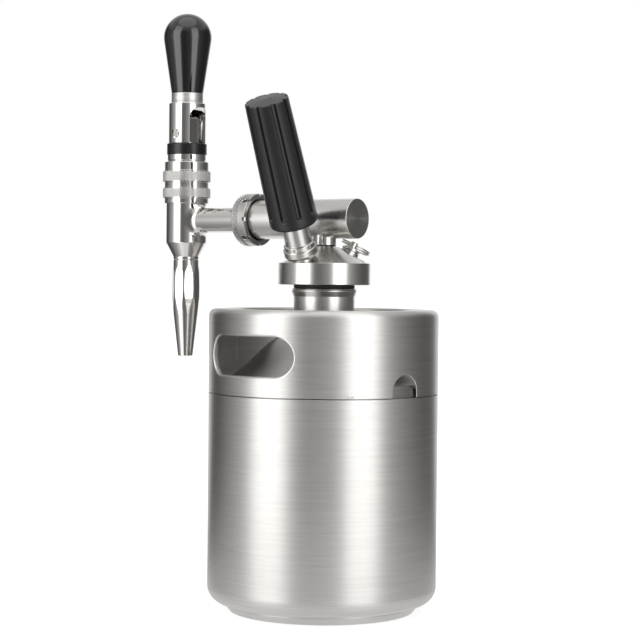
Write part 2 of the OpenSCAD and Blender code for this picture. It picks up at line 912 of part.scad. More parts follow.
module spout_nozzle() color("gainsboro") at_tap()
    difference() {
        rotate_extrude()
            polygon([
                [0, tip_z],
                [tip_r - tip_round, tip_z],
                [tip_r, tip_z + tip_round],
                [spout_r, belly_z],
                [spout_r, spout_top_z - spout_collar_h - spout_flare_h],
                [tap_neck_r, spout_top_z - spout_collar_h],
                [tap_neck_r, spout_top_z - parting_chamfer],
                [tap_neck_r - parting_chamfer, spout_top_z],
                [spigot_r, spout_top_z],
                [spigot_r, spout_top_z + spigot_h],
                [0, spout_top_z + spigot_h]
            ]);
        for (i = [0 : facets - 1])
            rotate([0, 0, spout_turn + i * 360 / facets])
                translate([spout_r - upper_flat_cut, -spout_r, tip_z - overrun])
                    cube([spout_r, spout_d, spout_top_z - spout_collar_h - tip_z]);
        for (i = [0 : facets - 1])
            rotate([0, 0, spout_turn + (i + 0.5) * 360 / facets])
                translate([tip_r - lower_flat_cut, -spout_r, tip_z])
                    rotate([0, lower_lean, 0])
                        translate([0, 0, -spout_r])
                            cube([spout_r, spout_d, 2 * spout_len]);
        rod(outlet_r, tip_z - overrun, spout_top_z);
        rod(straightener_bore_r, straightener_z, spout_top_z + spigot_h + overrun);
        rod(plate_r + fit, spout_top_z + spigot_h - plate_h, spout_top_z + spigot_h + overrun);
    }

module spout_seal() color("black") at_tap()
    difference() {
        rod(spigot_r, tap_neck_z + spigot_h, tap_neck_z + spigot_h + spout_seal_h);
        rod(seat_hole_r, tap_neck_z + spigot_h - overrun, tap_neck_z + spigot_h + spout_seal_h + overrun);
    }

module restrictor_plate() color("silver") at_tap()
    difference() {
        rod(plate_r, spout_top_z + spigot_h - plate_h, spout_top_z + spigot_h);
        for (i = [0 : plate_holes - 1])
            rotate([0, 0, i * 360 / plate_holes])
                translate([plate_pitch_r, 0, 0])
                    rod(plate_hole_r, spout_top_z, spout_top_z + 2 * spigot_h);
    }

module flow_straightener() color("white") at_tap()
    difference() {
        rod(straightener_bore_r - straightener_gap, straightener_z, straightener_z + straightener_len);
        for (i = [0 : 3])
            rotate([0, 0, i * 90])
                intersection() {
                    rod(straightener_bore_r - straightener_gap - vane_t, straightener_z - overrun,
                        straightener_z + straightener_len + overrun);
                    translate([vane_t / 2, vane_t / 2, straightener_z - overrun])
                        cube([plate_r, plate_r, straightener_len + 2 * overrun]);
                }
    }

// Bonnet and friction ring

module bonnet_core() color("silver") at_tap()
    difference() {
        rotate_extrude()
            polygon([
                [0, body_top_z - bonnet_thread_len],
                [bonnet_thread_r, body_top_z - bonnet_thread_len],
                [bonnet_thread_r, body_top_z],
                [core_r, body_top_z],
                [core_r, core_flange_z],
                [core_top_r, core_flange_z],
                [core_top_r, core_flange_z + core_groove],
                [core_top_r - core_groove, core_flange_z + 2 * core_groove],
                [core_top_r, core_flange_z + 3 * core_groove],
                [core_top_r, friction_z],
                [0, friction_z]
            ]);
        rod(guide_bore_r, body_top_z - bonnet_thread_len, friction_z + overrun);
        rod(cavity_r, body_top_z - bonnet_thread_len - overrun, bonnet_roof_z);
    }

module bonnet_nut() color("darkgray") at_tap()
    difference() {
        rotate_extrude()
            polygon([
                [0, body_top_z],
                [step_r - knurl_edge, body_top_z],
                [step_r, body_top_z + knurl_edge],
                [step_r, body_top_z + bonnet_step_h],
                [knurl_r - knurl_edge, body_top_z + bonnet_step_h],
                [knurl_r, body_top_z + bonnet_step_h + knurl_edge],
                [knurl_r, waist_z - knurl_edge],
                [knurl_r - knurl_edge, waist_z],
                [step_r, waist_z],
                [step_r, waist_z + waist_h / 2],
                [0, waist_z + waist_h / 2]
            ]);
        rod(core_r + fit, body_top_z - overrun, waist_z + waist_h);
    }

module lock_ring() color("darkgray") at_tap()
    difference() {
        rotate_extrude()
            polygon([
                [0, waist_z + waist_h / 2],
                [step_r, waist_z + waist_h / 2],
                [step_r, waist_z + waist_h],
                [knurl_r - knurl_edge, waist_z + waist_h],
                [knurl_r, waist_z + waist_h + knurl_edge],
                [knurl_r, crown_z - knurl_edge],
                [knurl_r - knurl_edge, crown_z],
                [step_r, crown_z],
                [step_r, core_flange_z - knurl_edge],
                [step_r - knurl_edge, core_flange_z],
                [0, core_flange_z]
            ]);
        rod(core_r + fit, waist_z, core_flange_z + overrun);
    }

module friction_ring() color("black") at_tap()
    difference() {
        rotate_extrude()
            polygon([
                [0, friction_z],
                [friction_r, friction_z],
                [friction_r, lever_z - friction_edge],
                [friction_r - friction_edge, lever_z],
                [0, lever_z]
            ]);
        rod(guide_bore_r, friction_z - overrun, lever_z + overrun);
    }

// Valve

module valve_stem() color("silver") at_tap()
    difference() {
        union() {
            rod(valve_head_r, valve_head_z, valve_head_z + valve_head_h);
            rod(rod_r, valve_head_z, guide_z + overrun);
            rod(guide_r, guide_z, lever_z + tongue_gap);
            intersection() {
                rod(tongue_half_x, lever_z + tongue_gap, pin_z + tongue_top);
                translate([-tongue_half_x, 0, 0])
                    rotate([90, 0, 90])
                        linear_extrude(2 * tongue_half_x)
                            tongue_outline();
            }
        }
        translate([-lever_r, 0, pin_z])
            rotate([0, 90, 0])
                cylinder(r = pin_r + fit, h = lever_d);
        difference() {
            rod(guide_r + overrun, oring_z - oring_wire / 2 - fit, oring_z + oring_wire / 2 + fit);
            rod(guide_r - oring_wire, oring_z - oring_wire, oring_z + oring_wire);
        }
    }

// The stem's tongue from the side, with rounded upper corners
module tongue_outline() {
    low = lever_z + tongue_gap;
    high = pin_z + tongue_top;
    polygon(concat(
        [[-tongue_half_y, low], [tongue_half_y, low]],
        arc([tongue_half_y - tongue_corner, high - tongue_corner], tongue_corner, 0, 90),
        arc([tongue_corner - tongue_half_y, high - tongue_corner], tongue_corner, 90, 180)));
}

module stem_oring() color("black") at_tap()
    translate([0, 0, oring_z])
        rotate_extrude()
            translate([guide_r - oring_wire / 2, 0])
                circle(d = oring_wire, $fn = 24);

module valve_seal() color("black") at_tap()
    rod(valve_seal_r, seat_z, seat_z + valve_seal_h);

module valve_spring() color("silver") at_tap()
    translate([0, 0, valve_head_z + valve_head_h + spring_wire / 2])
        wound_tube(spring_mid_r, spring_wire,
            bonnet_roof_z - valve_head_z - valve_head_h - spring_wire, spring_curls);

// Lever and knob

module lever() color("gainsboro") at_tap()
    difference() {
        rotate_extrude()
            polygon([
                [0, lever_z],
                [lever_r, lever_z],
                [lever_r, lever_z + lever_h - lever_edge],
                [lever_r - lever_edge, lever_z + lever_h],
                [0, lever_z + lever_h]
            ]);
        translate([0, lever_r + overrun, 0])
            rotate([90, 0, 0])
                linear_extrude(lever_r + overrun + slot_front)
                    lever_slot_outline();
        translate([-lever_r - overrun, 0, pin_z])
            rotate([0, 90, 0])
                cylinder(r = pin_r + fit, h = lever_d + 2 * overrun);
        for (side = [-1, 1])
            translate([side * lever_r, 0, pin_z])
                rotate([0, side * 90, 0])
                    rod(pin_recess_r, -pin_recess_depth, overrun);
        rod(stud_r + fit, lever_z + lever_h - stud_foot, lever_z + lever_h + overrun);
    }

// The arched opening on the keg's side of the lever
module lever_slot_outline() {
    top_z = lever_z + lever_h - slot_roof;
    polygon(concat(
        [[-slot_half_x, lever_z - overrun], [slot_half_x, lever_z - overrun]],
        arc([slot_half_x - slot_corner, top_z - slot_corner], slot_corner, 0, 90),
        arc([slot_corner - slot_half_x, top_z - slot_corner], slot_corner, 90, 180)));
}

module lever_pin() color("silver") at_tap()
    translate([0, 0, pin_z])
        rotate([0, 90, 0]) {
            rod(pin_r, pin_recess_depth - lever_r, lever_r - pin_recess_depth);
            for (side = [0, 1])
                mirror([0, 0, side])
                    rod(pin_head_r, lever_r - pin_recess_depth, lever_r - pin_recess_depth + pin_head_h);
        }

module knob_ferrule() color("silver") at_tap()
    difference() {
        rotate_extrude()
            polygon([
                [0, lever_z + lever_h],
                [ferrule_r - ferrule_edge, lever_z + lever_h],
                [ferrule_r, lever_z + lever_h + ferrule_edge],
                [ferrule_r, knob_z - ferrule_edge],
                [ferrule_r - ferrule_edge, knob_z],
                [0, knob_z]
            ]);
        rod(stud_r + fit, lever_z, knob_z + overrun);
    }

module knob_stud() color("silver") at_tap()
    rod(stud_r, lever_z + lever_h - stud_foot, lever_z + lever_h - stud_foot + stud_len);

// Angle at which the knob's ball meets its cone, so that the two run on smoothly
ball_z = knob_z + knob_h - knob_r;
cone_reach = norm([ball_z - knob_z - knob_foot_round, knob_r - knob_foot_r]);
knob_blend = asin((knob_r - knob_foot_r) / cone_reach);

module knob() color("black") at_tap()
    difference() {
        rotate_extrude()
            polygon(concat(
                [[0, knob_z], [knob_foot_r - knob_foot_round, knob_z], [knob_foot_r, knob_z + knob_foot_round]],
                arc([0, ball_z], knob_r, -knob_blend, 90, 3 * arc_steps)));
        rod(stud_r + fit, knob_z - overrun, lever_z + lever_h - stud_foot + stud_len + overrun);
    }

// Gas inlet

module inlet_body() color("lightgray") at_port()
    difference() {
        rotate_extrude()
            polygon([
                [0, -inlet_stub_len],
                [inlet_stub_r, -inlet_stub_len],
                [inlet_stub_r, -inlet_sink],
                [inlet_neck_r, -inlet_sink],
                [inlet_neck_r, inlet_collar_s],
                [collar_r - collar_taper, inlet_collar_s],
                [collar_r, inlet_collar_s + collar_taper],
                [collar_r, inlet_collar_s + inlet_collar_h - cap_edge],
                [collar_r - cap_edge, inlet_collar_s + inlet_collar_h],
                [band_r, inlet_collar_s + inlet_collar_h],
                [band_r, inlet_barrel_s - cap_edge],
                [barrel_r, inlet_barrel_s],
                [barrel_r, inlet_thread_s],
                [inlet_thread_r, inlet_thread_s],
                [inlet_thread_r, inlet_thread_s + inlet_thread_h],
                [0, inlet_thread_s + inlet_thread_h]
            ]);
        rod(port_throat_r, port_throat_s, inlet_thread_s + inlet_thread_h + overrun);
        rod(gas_way_r, 0, port_throat_s + overrun);
        rod(check_chamber_r, check_chamber_top_s - check_chamber_len, check_chamber_top_s);
        rod(check_chamber_r, -inlet_stub_len - overrun, 0);
        rotate([0, 0, -30])
            translate([barrel_r - vent_groove_depth, -vent_groove_w / 2, inlet_thread_s - vent_groove_len])
                cube([2 * vent_groove_depth, vent_groove_w, vent_groove_len + overrun]);
    }

module check_cage() color("silver") at_port()
    difference() {
        rod(check_chamber_r - fit, -inlet_stub_len, -inlet_stub_len + check_cage_h);
        rod(gas_way_r, -inlet_stub_len - overrun, 0);
    }

module check_poppet() color("goldenrod") at_port() {
    rod(check_head_r, check_chamber_top_s - check_head_h, check_chamber_top_s);
    rod(check_tail_r, check_chamber_top_s - check_head_h - check_tail_len, check_chamber_top_s - check_head_h);
}

module check_spring() color("silver") at_port()
    translate([0, 0, check_cage_h - inlet_stub_len + check_spring_wire / 2])
        wound_tube(check_spring_mid_r, check_spring_wire,
            check_chamber_top_s - check_head_h + inlet_stub_len - check_cage_h - check_spring_wire,
            check_spring_curls);

module piercing_pin() color("silver") at_port()
    difference() {
        union() {
            rod(pin_base_r, port_throat_s, port_throat_s + pin_base_h);
            translate([0, 0, port_throat_s + pin_base_h])
                cylinder(r1 = pin_point_r, r2 = pin_tip_r, h = pin_point_h);
        }
        rod(pin_gas_r, port_throat_s - overrun, port_throat_s + pin_base_h + pin_point_h + overrun);
    }

module gas_seal() color("black") at_port()
    difference() {
        rod(pin_base_r, port_throat_s + pin_base_h, cartridge_s);
        rod(gas_seal_in_r, port_throat_s, cartridge_s + overrun);
    }

// Outline of the cartridge, drawn in by a depth for its inside
function cartridge_outline(depth) = concat(
    [
        [0, cartridge_s + depth * 3],
        [cartridge_neck_r - depth, cartridge_s + depth * 3],
        [cartridge_neck_r - depth, cartridge_s + cartridge_neck_len]
    ],
    [for (i = [1 : arc_steps])
        let (t = i / arc_steps)
        [
            cartridge_neck_r + (cartridge_r - cartridge_neck_r) * (1 - cos(180 * t)) / 2 - depth,
            cartridge_s + cartridge_neck_len + cartridge_shoulder * t
        ]],
    arc([0, cartridge_s + cartridge_len - cartridge_r], cartridge_r - depth, 0, 90));

module gas_cartridge() color("silver") at_port()
    difference() {
        rotate_extrude()
            polygon(cartridge_outline(0));
        rotate_extrude()
            polygon(cartridge_outline(cartridge_wall));
        rod(cartridge_mouth_r, cartridge_s - overrun, cartridge_s + cartridge_mouth_depth);
    }

// Radius of the sleeve at a height on its axis
function sleeve_r_at(s) =
    sleeve_foot_r + (sleeve_top_r - sleeve_foot_r) * (s - sleeve_s) / sleeve_len;

module cartridge_sleeve() color("dimgray") at_port() {
    lean = atan((sleeve_foot_r - sleeve_top_r) / sleeve_len);
    top_s = sleeve_s + sleeve_len;
    difference() {
        rotate_extrude()
            polygon(concat(
                [[0, sleeve_s]],
                arc([sleeve_foot_r - sleeve_edge, sleeve_s + sleeve_edge], sleeve_edge, -90, lean),
                [
                    [sleeve_top_r, top_s - sleeve_dome - sleeve_top_edge],
                    [sleeve_top_r - sleeve_top_edge, top_s - sleeve_dome],
                    [0, top_s]
                ]));
        rod(sleeve_skirt_r, sleeve_s - overrun, sleeve_s + insert_step);
        rod(insert_r + fit, sleeve_s + insert_step, sleeve_s + insert_step + insert_h);
        rod(sleeve_bore_r, sleeve_s + insert_step, top_s - sleeve_dome - sleeve_roof);
        translate([sleeve_vent_offset, 0, 0])
            rod(sleeve_vent_r, top_s - sleeve_dome - sleeve_roof - overrun, top_s + overrun);
        for (i = [0 : flute_count - 1])
            rotate([0, 0, flute_phase + i * 360 / flute_count])
                translate([sleeve_r_at(sleeve_s + flute_start) - flute_depth, 0, sleeve_s + flute_start])
                    rotate([0, -lean, 0])
                        flute();
    }
}

// The cutter of one flute, with a round lower end
module flute() {
    translate([0, -flute_w / 2, 0])
        cube([2 * flute_depth, flute_w, sleeve_len]);
    rotate([0, 90, 0])
        cylinder(d = flute_w, h = 2 * flute_depth);
}

module sleeve_insert() color("goldenrod") at_port()
    difference() {
        rod(insert_r, sleeve_s + insert_step, sleeve_s + insert_step + insert_h);
        rod(barrel_r + fit, sleeve_s, inlet_thread_s + fit);
        rod(inlet_thread_r + fit, sleeve_s, sleeve_s + insert_step + insert_h + overrun);
    }

// Relief valve

module relief_body() color("silver") at_relief()
    difference() {
        rotate_extrude()
            polygon([
                [0, -relief_stub_len],
                [relief_stub_r, -relief_stub_len],
                [relief_stub_r, -relief_sink],
                [relief_body_r, -relief_sink],
                [relief_body_r, relief_body_h / 2 - relief_groove],
                [relief_body_r - relief_groove, relief_body_h / 2],
                [relief_body_r, relief_body_h / 2 + relief_groove],
                [relief_body_r, relief_body_h - relief_groove],
                [relief_body_r - relief_groove, relief_body_h],
                [relief_cap_r, relief_body_h],
                [relief_cap_r, relief_body_h + relief_cap_h],
                [0, relief_body_h + relief_cap_h]
            ]);
        rod(relief_hole_r, -relief_stub_len - overrun, 0);
        rod(relief_chamber_r, relief_floor - relief_stub_len, relief_body_h + relief_cap_h - relief_roof);
        rod(relief_rod_r + 2 * fit, 0, relief_body_h + relief_cap_h + overrun);
        for (i = [0 : relief_vents - 1])
            rotate([0, 0, (i + 0.5) * 360 / relief_vents])
                translate([0, 0, relief_body_h * vent_height_share])
                    rotate([0, 90, 0])
                        rod(relief_vent_r, 0, relief_body_r + overrun);
    }

relief_seal_s = relief_floor - relief_stub_len;
relief_flange_s = relief_seal_s + relief_seal_h;

module relief_seal() color("black") at_relief()
    rod(relief_seal_r, relief_seal_s, relief_flange_s);

module relief_stem() color("silver") at_relief()
    difference() {
        union() {
            rod(relief_seal_r, relief_flange_s, relief_flange_s + relief_flange_h);
            rod(relief_rod_r, relief_flange_s, eye_s + overrun);
            rod(eye_r, eye_s, eye_s + eye_h);
        }
        rotate([0, 0, stem_turn])
            translate([-eye_r - overrun, 0, eye_axis_s])
                rotate([0, 90, 0])
                    cylinder(r = eye_hole_r, h = 2 * (eye_r + overrun));
    }

module relief_spring() color("silver") at_relief() {
    from = relief_flange_s + relief_flange_h;
    to = relief_body_h + relief_cap_h - relief_roof;
    translate([0, 0, from + relief_spring_wire / 2])
        wound_tube(relief_spring_mid_r, relief_spring_wire, to - from - relief_spring_wire,
            relief_spring_curls);
}

// The split ring lies over to one side of the stem, both its strands through the eye
module pull_ring() color("silver") at_relief()
    rotate([0, 0, stem_turn])
        translate([0, 0, eye_axis_s])
            rotate([ring_tilt, 0, 0])
                translate([0, ring_mid_r, -ring_turns * (ring_wire + ring_gap) / 2])
                    rotate([0, 0, 90])
                        wound_tube(ring_mid_r, ring_wire, ring_turns * (ring_wire + ring_gap), ring_turns, 24);

foot_ring();
vessel_cup();
vessel_shoulder();
keg_neck();
top_chime();
lid_seal();
lid_cap();
dip_tube();
dip_nut();
dip_oring();
post_seal();
riser_post();
tap_tube();
coupling_nut();
coupling_washer();
faucet_body();
spout_nozzle();
spout_seal();
restrictor_plate();
flow_straightener();
bonnet_core();
bonnet_nut();
lock_ring();
friction_ring();
valve_stem();
stem_oring();
valve_seal();
valve_spring();
lever();
lever_pin();
knob_ferrule();
knob_stud();
knob();
inlet_body();
check_cage();
check_poppet();
check_spring();
piercing_pin();
gas_seal();
gas_cartridge();
cartridge_sleeve();
sleeve_insert();
relief_body();
relief_stem();
relief_seal();
relief_spring();
pull_ring();
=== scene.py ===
"""Nitro coffee keg with a stout tap: dressed pieces, finishes, camera and lamps."""
import json
import math

import bpy
import numpy as np
from mathutils import Matrix, Vector

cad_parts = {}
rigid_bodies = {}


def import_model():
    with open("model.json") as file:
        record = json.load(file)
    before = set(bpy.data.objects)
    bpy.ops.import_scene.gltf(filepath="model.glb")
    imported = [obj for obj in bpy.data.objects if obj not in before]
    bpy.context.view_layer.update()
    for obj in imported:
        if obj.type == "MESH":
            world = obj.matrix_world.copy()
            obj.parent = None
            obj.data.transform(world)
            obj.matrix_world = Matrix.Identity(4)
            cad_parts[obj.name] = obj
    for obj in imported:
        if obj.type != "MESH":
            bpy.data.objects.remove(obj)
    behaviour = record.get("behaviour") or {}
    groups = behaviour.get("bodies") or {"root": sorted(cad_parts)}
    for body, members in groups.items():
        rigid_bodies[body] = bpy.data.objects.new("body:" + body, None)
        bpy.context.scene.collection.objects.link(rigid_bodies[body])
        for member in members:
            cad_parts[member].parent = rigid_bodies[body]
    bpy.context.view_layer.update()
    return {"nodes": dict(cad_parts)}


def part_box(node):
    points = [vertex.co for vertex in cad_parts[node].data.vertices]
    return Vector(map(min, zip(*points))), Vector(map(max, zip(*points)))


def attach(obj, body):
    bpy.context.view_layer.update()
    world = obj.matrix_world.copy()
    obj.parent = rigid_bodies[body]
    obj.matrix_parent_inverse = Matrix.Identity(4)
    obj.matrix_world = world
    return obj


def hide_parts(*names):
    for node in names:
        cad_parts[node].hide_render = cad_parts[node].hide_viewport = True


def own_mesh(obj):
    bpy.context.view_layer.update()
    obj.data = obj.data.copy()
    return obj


bl_info = {
    "name": "Nitro coffee keg",
    "version": (1, 0, 0),
    "blender": (4, 5, 0),
    "location": "3D View > Sidebar > Keg",
    "description": "Builds the dressed pieces of a small steel keg with a stout tap",
    "category": "Object",
}

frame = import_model()
MM = 1000.0

# Degrees of one step of a rounded corner, and how near a point counts as on a surface
ARC_STEP = 9.0
NEAR = 0.03

# Sizes in millimetres that several pieces share
THREAD_TURNS = 5
THREAD_PITCH = 3.0
THREAD_DEPTH = 0.55
KNURL_STEP = 0.45
BONNET_BORE = 13.45
BONNET_STEP = 16.8
BONNET_RISE = 3.8
SLEEVE_PHASE = 7
EYE_TURN = -28
EYE_HEIGHT = 7.1


def length(name, text, value):
    """A length property in metres, given in millimetres."""
    return bpy.props.FloatProperty(
        name=name, description=text, default=value / MM, min=0.0, unit="LENGTH", precision=5)


def colour(name, text, value):
    """A colour property."""
    return bpy.props.FloatVectorProperty(
        name=name, description=text, default=value, size=3, min=0.0, max=1.0, subtype="COLOR")


def share(name, text, value, high=10.0):
    """A plain number between 0 and a high limit."""
    return bpy.props.FloatProperty(name=name, description=text, default=value, min=0.0, max=high)


def turn(name, text, value):
    """An angle property, given in degrees."""
    return bpy.props.FloatProperty(
        name=name, description=text, default=math.radians(value), unit="ROTATION")


class KegSizes(bpy.types.PropertyGroup):
    """Sizes of the keg, its handle ring and its neck"""
    wall: length("Sheet", "Thickness of the keg's sheet", 1.0)
    corner: length("Corner", "Radius of the lower shell's bottom corner", 12.0)
    keg_turn: turn("Turn", "Turn of the keg under the head", -6.7)
    slot_length: length("Slot length", "Length of a handle slot", 76.0)
    slot_height: length("Slot height", "Height of a handle slot", 27.5)
    slot_rise: length("Slot height above the seam", "From the seam to a slot's centre", 28.02)
    slot_curl: length("Slot curl", "Radius of a slot's curled edge", 2.2)
    slot_depth: length("Slot collar", "Depth of a slot's collar", 3.8)
    notch_width: length("Notch width", "Width of a drain notch", 23.5)
    notch_height: length("Notch height", "Height of a drain notch above the seam", 16.0)
    notch_turn: turn("Notch turn", "Turn from a slot to a drain notch", 86.4)
    rim_radius: length("Rim", "Radius of the opening inside the top rim", 62.0)
    rim_round: length("Rim round", "Radius of the outer round of the top rim", 5.0)
    neck_radius: length("Neck", "Outer radius of the neck", 22.0)
    mouth_radius: length("Mouth", "Radius of the mouth inside the neck", 19.4)


class HeadSizes(bpy.types.PropertyGroup):
    """Sizes of the lid, tube and tap"""
    cap_height: length("Lid side", "Height of the lid's side", 15.5)
    cone_slope: turn("Cone slope", "Slope of the lid's cone", 28.5)
    post_radius: length("Post", "Radius of the post", 8.25)
    tap_reach: length("Tap reach", "Distance from the keg's axis to the tap's axis", 130.0)
    shank_radius: length("Shank", "Radius of the shank behind the tap body", 9.35)
    shank_fillet: length("Shank fillet", "Radius of the fillet between shank and body", 4.2)
    knurl_pitch: length("Knurl pitch", "Distance between two knurl diamonds", 2.3)
    knurl_depth: length("Knurl depth", "Height of a knurl diamond", 0.6)
    port_reach: length("Inlet reach", "Distance from the keg's axis to the gas inlet", 26.5)
    port_tilt: turn("Inlet tilt", "Tilt of the gas inlet from upright", 25.0)
    port_skew: turn("Inlet skew", "Turn of the inlet's lean", 6.0)
    flutes: bpy.props.IntProperty(
        name="Flutes", description="Number of flutes round the sleeve", default=9, min=4, max=16)
    flute_depth: length("Flute depth", "Depth of a sleeve flute", 2.2)
    relief_reach: length("Relief reach", "Distance from the keg's axis to the relief valve", 18.8)
    relief_turn: turn("Relief direction", "Direction of the relief valve round the lid", 145.0)
    ring_wire: length("Ring wire", "Wire diameter of the pull ring", 1.15)


class KegColours(bpy.types.PropertyGroup):
    """Colours of the finishes"""
    shell: colour("Shell", "Brushed steel of the keg", (0.645, 0.63, 0.61))
    turned: colour("Turned", "Fine turned steel of lid and tube", (0.66, 0.645, 0.625))
    polished: colour("Polished", "Polished steel of the tap", (0.70, 0.685, 0.665))
    satin: colour("Satin", "Satin steel of nuts and rings", (0.62, 0.61, 0.59))
    wire: colour("Wire", "Drawn wire", (0.58, 0.57, 0.55))
    brass: colour("Brass", "Machined brass", (0.70, 0.50, 0.22))
    knob: colour("Knob", "Glossy black of the knob", (0.006, 0.006, 0.007))
    sleeve: colour("Sleeve", "Matt black of the sleeve", (0.016, 0.016, 0.017))
    rubber: colour("Rubber", "Black rubber", (0.018, 0.018, 0.018))
    plastic: colour("Plastic", "White plastic", (0.80, 0.80, 0.78))


class StudioSettings(bpy.types.PropertyGroup):
    """Camera, lamps and floor"""
    camera_distance: length("Camera distance", "Distance from the keg's axis to the camera", 1360.0)
    camera_azimuth: turn("Camera direction", "Direction of the camera round the keg", 36.0)
    camera_height: length("Camera height", "Height of the camera", 240.0)
    aim_height: length("Aim height", "Height that the camera looks at", 208.6)
    aim_side: length("Aim shift", "Shift of that point to the left", 2.8)
    camera_roll: turn("Camera roll", "Roll of the camera", 0.54)
    camera_lens: share("Lens", "Focal length in millimetres", 106.26, 400.0)
    lamp_level: share("Lamp level", "Brightness of the two tall soft lamps", 1.35)
    room_level: share("Room level", "Brightness of the room's walls", 1.0)
    dark_level: share("Ceiling level", "Brightness of the ceiling round the panel", 0.7)
    top_level: share("Panel level", "Brightness of the soft panel overhead", 1.5)
    panel_height: turn("Panel height", "Height of the panel above the camera side", 78.0)
    floor_level: share("Floor level", "Brightness of the floor near the keg in reflections", 0.85)


def mm(name):
    """A length of the keg or its head in millimetres."""
    scene = bpy.context.scene
    group = scene.keg_sizes if hasattr(scene.keg_sizes, name) else scene.keg_head
    return getattr(group, name) * MM


def span(node):
    """Lowest and highest corner of a CAD node in millimetres."""
    low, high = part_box(node)
    return low * MM, high * MM


# Places of the axes

def at(x=0.0, y=0.0, z=0.0):
    """A place moved from the origin."""
    return Matrix.Translation((x, y, z))


def about(degrees, axis="Z"):
    """A turn about an axis."""
    return Matrix.Rotation(math.radians(degrees), 4, axis)


def keg_place():
    """The keg's axis, turned under the head."""
    return Matrix.Rotation(bpy.context.scene.keg_sizes.keg_turn, 4, "Z")


def cone_height(reach):
    """Height of the lid's cone at a distance from the axis."""
    slope = bpy.context.scene.keg_head.cone_slope
    return span("lid_cap")[1].z + (mm("post_radius") + 1.0 - reach) * math.tan(slope)


def tube_place(y=0.0):
    """The tap tube's axis, +Z of the piece towards +Y."""
    low, high = span("tap_tube")
    return at(0, y, (low.z + high.z) / 2) @ about(-90, "X")


def nut_place():
    """The coupling nut's axis, from its face on the tap's side."""
    return tube_place(span("coupling_nut")[0].y)


def tap_place():
    """The tap's upright axis."""
    return at(0, -mm("tap_reach"), 0)


def port_place():
    """The gas inlet's axis from the cone outwards."""
    head = bpy.context.scene.keg_head
    reach = mm("port_reach")
    return (at(reach, 0, cone_height(reach)) @ Matrix.Rotation(head.port_skew, 4, "Z")
            @ Matrix.Rotation(head.port_tilt, 4, "Y"))


def relief_place():
    """The relief valve's axis from the cone outwards."""
    head = bpy.context.scene.keg_head
    reach = mm("relief_reach")
    return (Matrix.Rotation(head.relief_turn, 4, "Z") @ at(reach, 0, cone_height(reach))
            @ Matrix.Rotation(head.cone_slope, 4, "Y"))


# Outlines, skins and cuts

def outline(points, closed=True):
    """Ends and normals of the stretches of an outline, whose corners (r, z, radius) are rounded."""
    pts = [np.array(p[:2], float) for p in points]
    radii = [p[2] if len(p) > 2 else 0.0 for p in points]
    count = len(pts)
    runs = []
    for i in range(count):
        open_end = not closed and i in (0, count - 1)
        before = pts[i] - pts[i - 1] if closed or i > 0 else pts[1] - pts[0]
        after = pts[(i + 1) % count] - pts[i] if closed or i < count - 1 else before
        reach = 0.499 * min(np.linalg.norm(before), np.linalg.norm(after))
        a = before / np.linalg.norm(before)
        b = after / np.linalg.norm(after)
        na = np.array([a[1], -a[0]])
        nb = np.array([b[1], -b[0]])
        angle = math.atan2(a[0] * b[1] - a[1] * b[0], float(a @ b))
        if radii[i] <= 0 or abs(angle) < 0.01 or open_end:
            runs.append([(pts[i], na), (pts[i], nb)])
            continue
        tangent = math.tan(abs(angle) / 2)
        radius = math.copysign(min(radii[i], reach / tangent), angle)
        centre = pts[i] - a * abs(radius) * tangent - radius * na
        steps = max(2, math.ceil(abs(math.degrees(angle)) / ARC_STEP))
        run = []
        for t in angle * np.arange(steps + 1) / steps:
            c, s = math.cos(t), math.sin(t)
            n = np.array([na[0] * c - na[1] * s, na[0] * s + na[1] * c])
            run.append((centre + radius * n, n))
        runs.append(run)
    ends = []
    normals = []
    for i in range(count):
        samples = list(runs[i])
        if closed or i < count - 1:
            samples.append(runs[(i + 1) % count][0])
        for (p, n), (q, m) in zip(samples, samples[1:]):
            if np.linalg.norm(q - p) > 1e-6:
                ends.append((p, q))
                normals.append((n, m))
    return np.array(ends), np.array(normals)


def thread(radius, crest, start):
    """Outline points of the turns of a thread, upwards."""
    points = []
    for i in range(THREAD_TURNS):
        z = start + i * THREAD_PITCH
        quarter = THREAD_PITCH / 4
        points += [(radius, z), (radius + crest, z + quarter), (radius + crest, z + 2 * quarter),
                   (radius, z + 3 * quarter)]
    return points


def stations(shape, step, whole):
    """Points along an outline, where long stretches are cut into short ones."""
    ends = shape[0]
    rows = [ends[0, 0]]
    for a, b in ends:
        parts = max(1, whole(np.linalg.norm(b - a) / step))
        rows += [a + (b - a) * (k + 1) / parts for k in range(parts)]
    return np.array(rows)


def spin(shape, steps, keep=None):
    """Quads and corner normals of an outline spun about +Z."""
    angle = np.linspace(0, 2 * math.pi, steps + 1)
    angle[-1] = 0
    c, s = np.cos(angle), np.sin(angle)

    def quads(values):
        low, high = [
            np.stack([v[:, 0, None] * c, v[:, 0, None] * s, np.repeat(v[:, 1, None], steps + 1, 1)], -1)
            for v in (values[:, 0], values[:, 1])]
        grid = np.stack([low[:, :-1], low[:, 1:], high[:, 1:], high[:, :-1]], 2)
        return grid.reshape(-1, 4, 3) if keep is None else grid[keep]

    return quads(shape[0]), quads(shape[1])


def loft(grid, normals, closed=False):
    """Quads of a grid of points, row by row, with its corner normals."""
    def quads(v):
        if closed:
            v = np.concatenate([v, v[:, :1]], 1)
        return np.stack([v[:-1, :-1], v[:-1, 1:], v[1:, 1:], v[1:, :-1]], 2).reshape(-1, 4, 3)

    return quads(grid), quads(normals)


def grid_normals(grid):
    """Smooth normals of a grid of points, closed along its rows."""
    n = np.cross(np.roll(grid, -1, 1) - np.roll(grid, 1, 1), np.gradient(grid, axis=0))
    size = np.linalg.norm(n, axis=-1, keepdims=True)
    size[size < 1e-12] = 1
    return n / size


